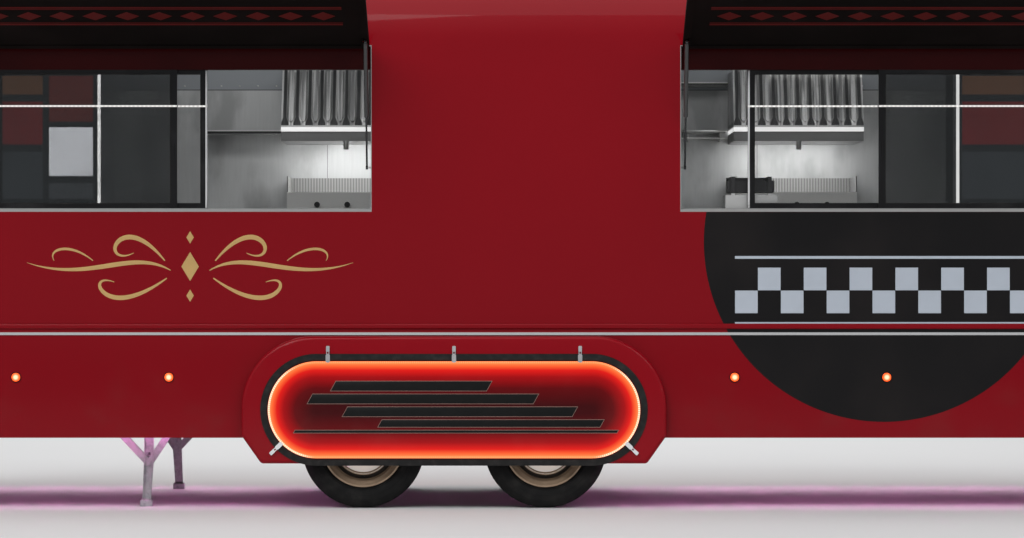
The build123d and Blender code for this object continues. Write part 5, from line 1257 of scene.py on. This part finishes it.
FLOOR_SIZE = 120.0
PALE = (0.66, 0.66, 0.66)
pale_floor, tree = finish("pale_floor", {"Roughness": 0.7})
paint(cloud(tree, 0.5), PALE, shade(PALE, 0.97))
ground_sheet = bmesh.new()
rectangle(ground_sheet, Matrix.Translation((shell_middle.x, 0, ground)), FLOOR_SIZE, FLOOR_SIZE)
mesh = bpy.data.meshes.new("studio_floor")
ground_sheet.to_mesh(mesh)
ground_sheet.free()
mesh.materials.append(pale_floor)
shown("studio_floor", mesh)

HOOD_REAR, HOOD_FRONT = HOOD_CENTRES
LAMPS = [
    # name, place, aim, width, height, watts
    ("key", (-12.0, -14.0, 13.0), (-5.3, -1.0, 0.8), 12.0, 9.0, 1500.0),
    ("fill", (5.0, -14.0, 10.0), (-5.0, -1.0, 0.8), 7.0, 6.0, 420.0),
    ("top", (-5.3, -4.0, 13.0), (-5.3, -1.0, 0.0), 18.0, 12.0, 900.0),
    ("back", (-5.3, 16.0, 9.0), (-5.3, 0.0, 0.8), 14.0, 9.0, 1100.0),
    ("kitchen_rear", (-6.6, -0.35, 2.14), (-6.6, 0.9, 1.0), 1.8, 0.22, 4.8),
    ("kitchen_front", (-3.2, -0.35, 2.14), (-3.2, 0.9, 1.0), 1.8, 0.22, 4.8),
    ("hood_rear", (HOOD_REAR, 0.74, 1.49), (HOOD_REAR, 0.95, 0.9), 0.6, 0.25, 3.2),
    ("hood_front", (HOOD_FRONT, 0.74, 1.49), (HOOD_FRONT, 0.95, 0.9), 0.6, 0.25, 3.2),
]
for name, at, aim, width, height, watts in LAMPS:
    lamp = bpy.data.lights.new(name, "AREA")
    lamp.shape = "RECTANGLE"
    lamp.size, lamp.size_y, lamp.energy = width, height, watts
    holder = shown(name, lamp)
    holder.location = at
    holder.rotation_euler = (Vector(aim) - Vector(at)).to_track_quat("-Z", "Y").to_euler()

SKY = (0.94, 0.95, 0.97)
SKY_LIGHT = 0.38
SKY_SEEN = 0.17
world = bpy.data.worlds.new("pale_sky")
bpy.context.scene.world = world
world.use_nodes = True
tree = world.node_tree
sky = tree.nodes["Background"]
rays = tree.nodes.new("ShaderNodeLightPath")
seen = reckon("MAXIMUM", rays.outputs["Is Camera Ray"], reckon(
    "MAXIMUM", rays.outputs["Is Glossy Ray"], rays.outputs["Is Transmission Ray"]))
feed(tree, sky.inputs["Color"], SKY)
feed(tree, sky.inputs["Strength"], reckon("MULTIPLY_ADD", seen, SKY_SEEN, SKY_LIGHT))

CAMERA_BACK = 22.0
FRAME_WIDTH = 5.274
SENSOR = 36.0
CAMERA_X = -5.052
EYE_HEIGHT = 0.730
FRAME_SHIFT = 0.0137
lens = bpy.data.cameras.new("camera")
lens.sensor_width = SENSOR
lens.lens = SENSOR * CAMERA_BACK / FRAME_WIDTH
lens.shift_y = FRAME_SHIFT
lens.clip_end = 300.0
camera = shown("camera", lens)
camera.location = (CAMERA_X, wall_face - CAMERA_BACK, EYE_HEIGHT)
camera.rotation_euler = (radians(90), 0, 0)
bpy.context.scene.camera = camera
bpy.context.scene.view_settings.view_transform = "Standard"
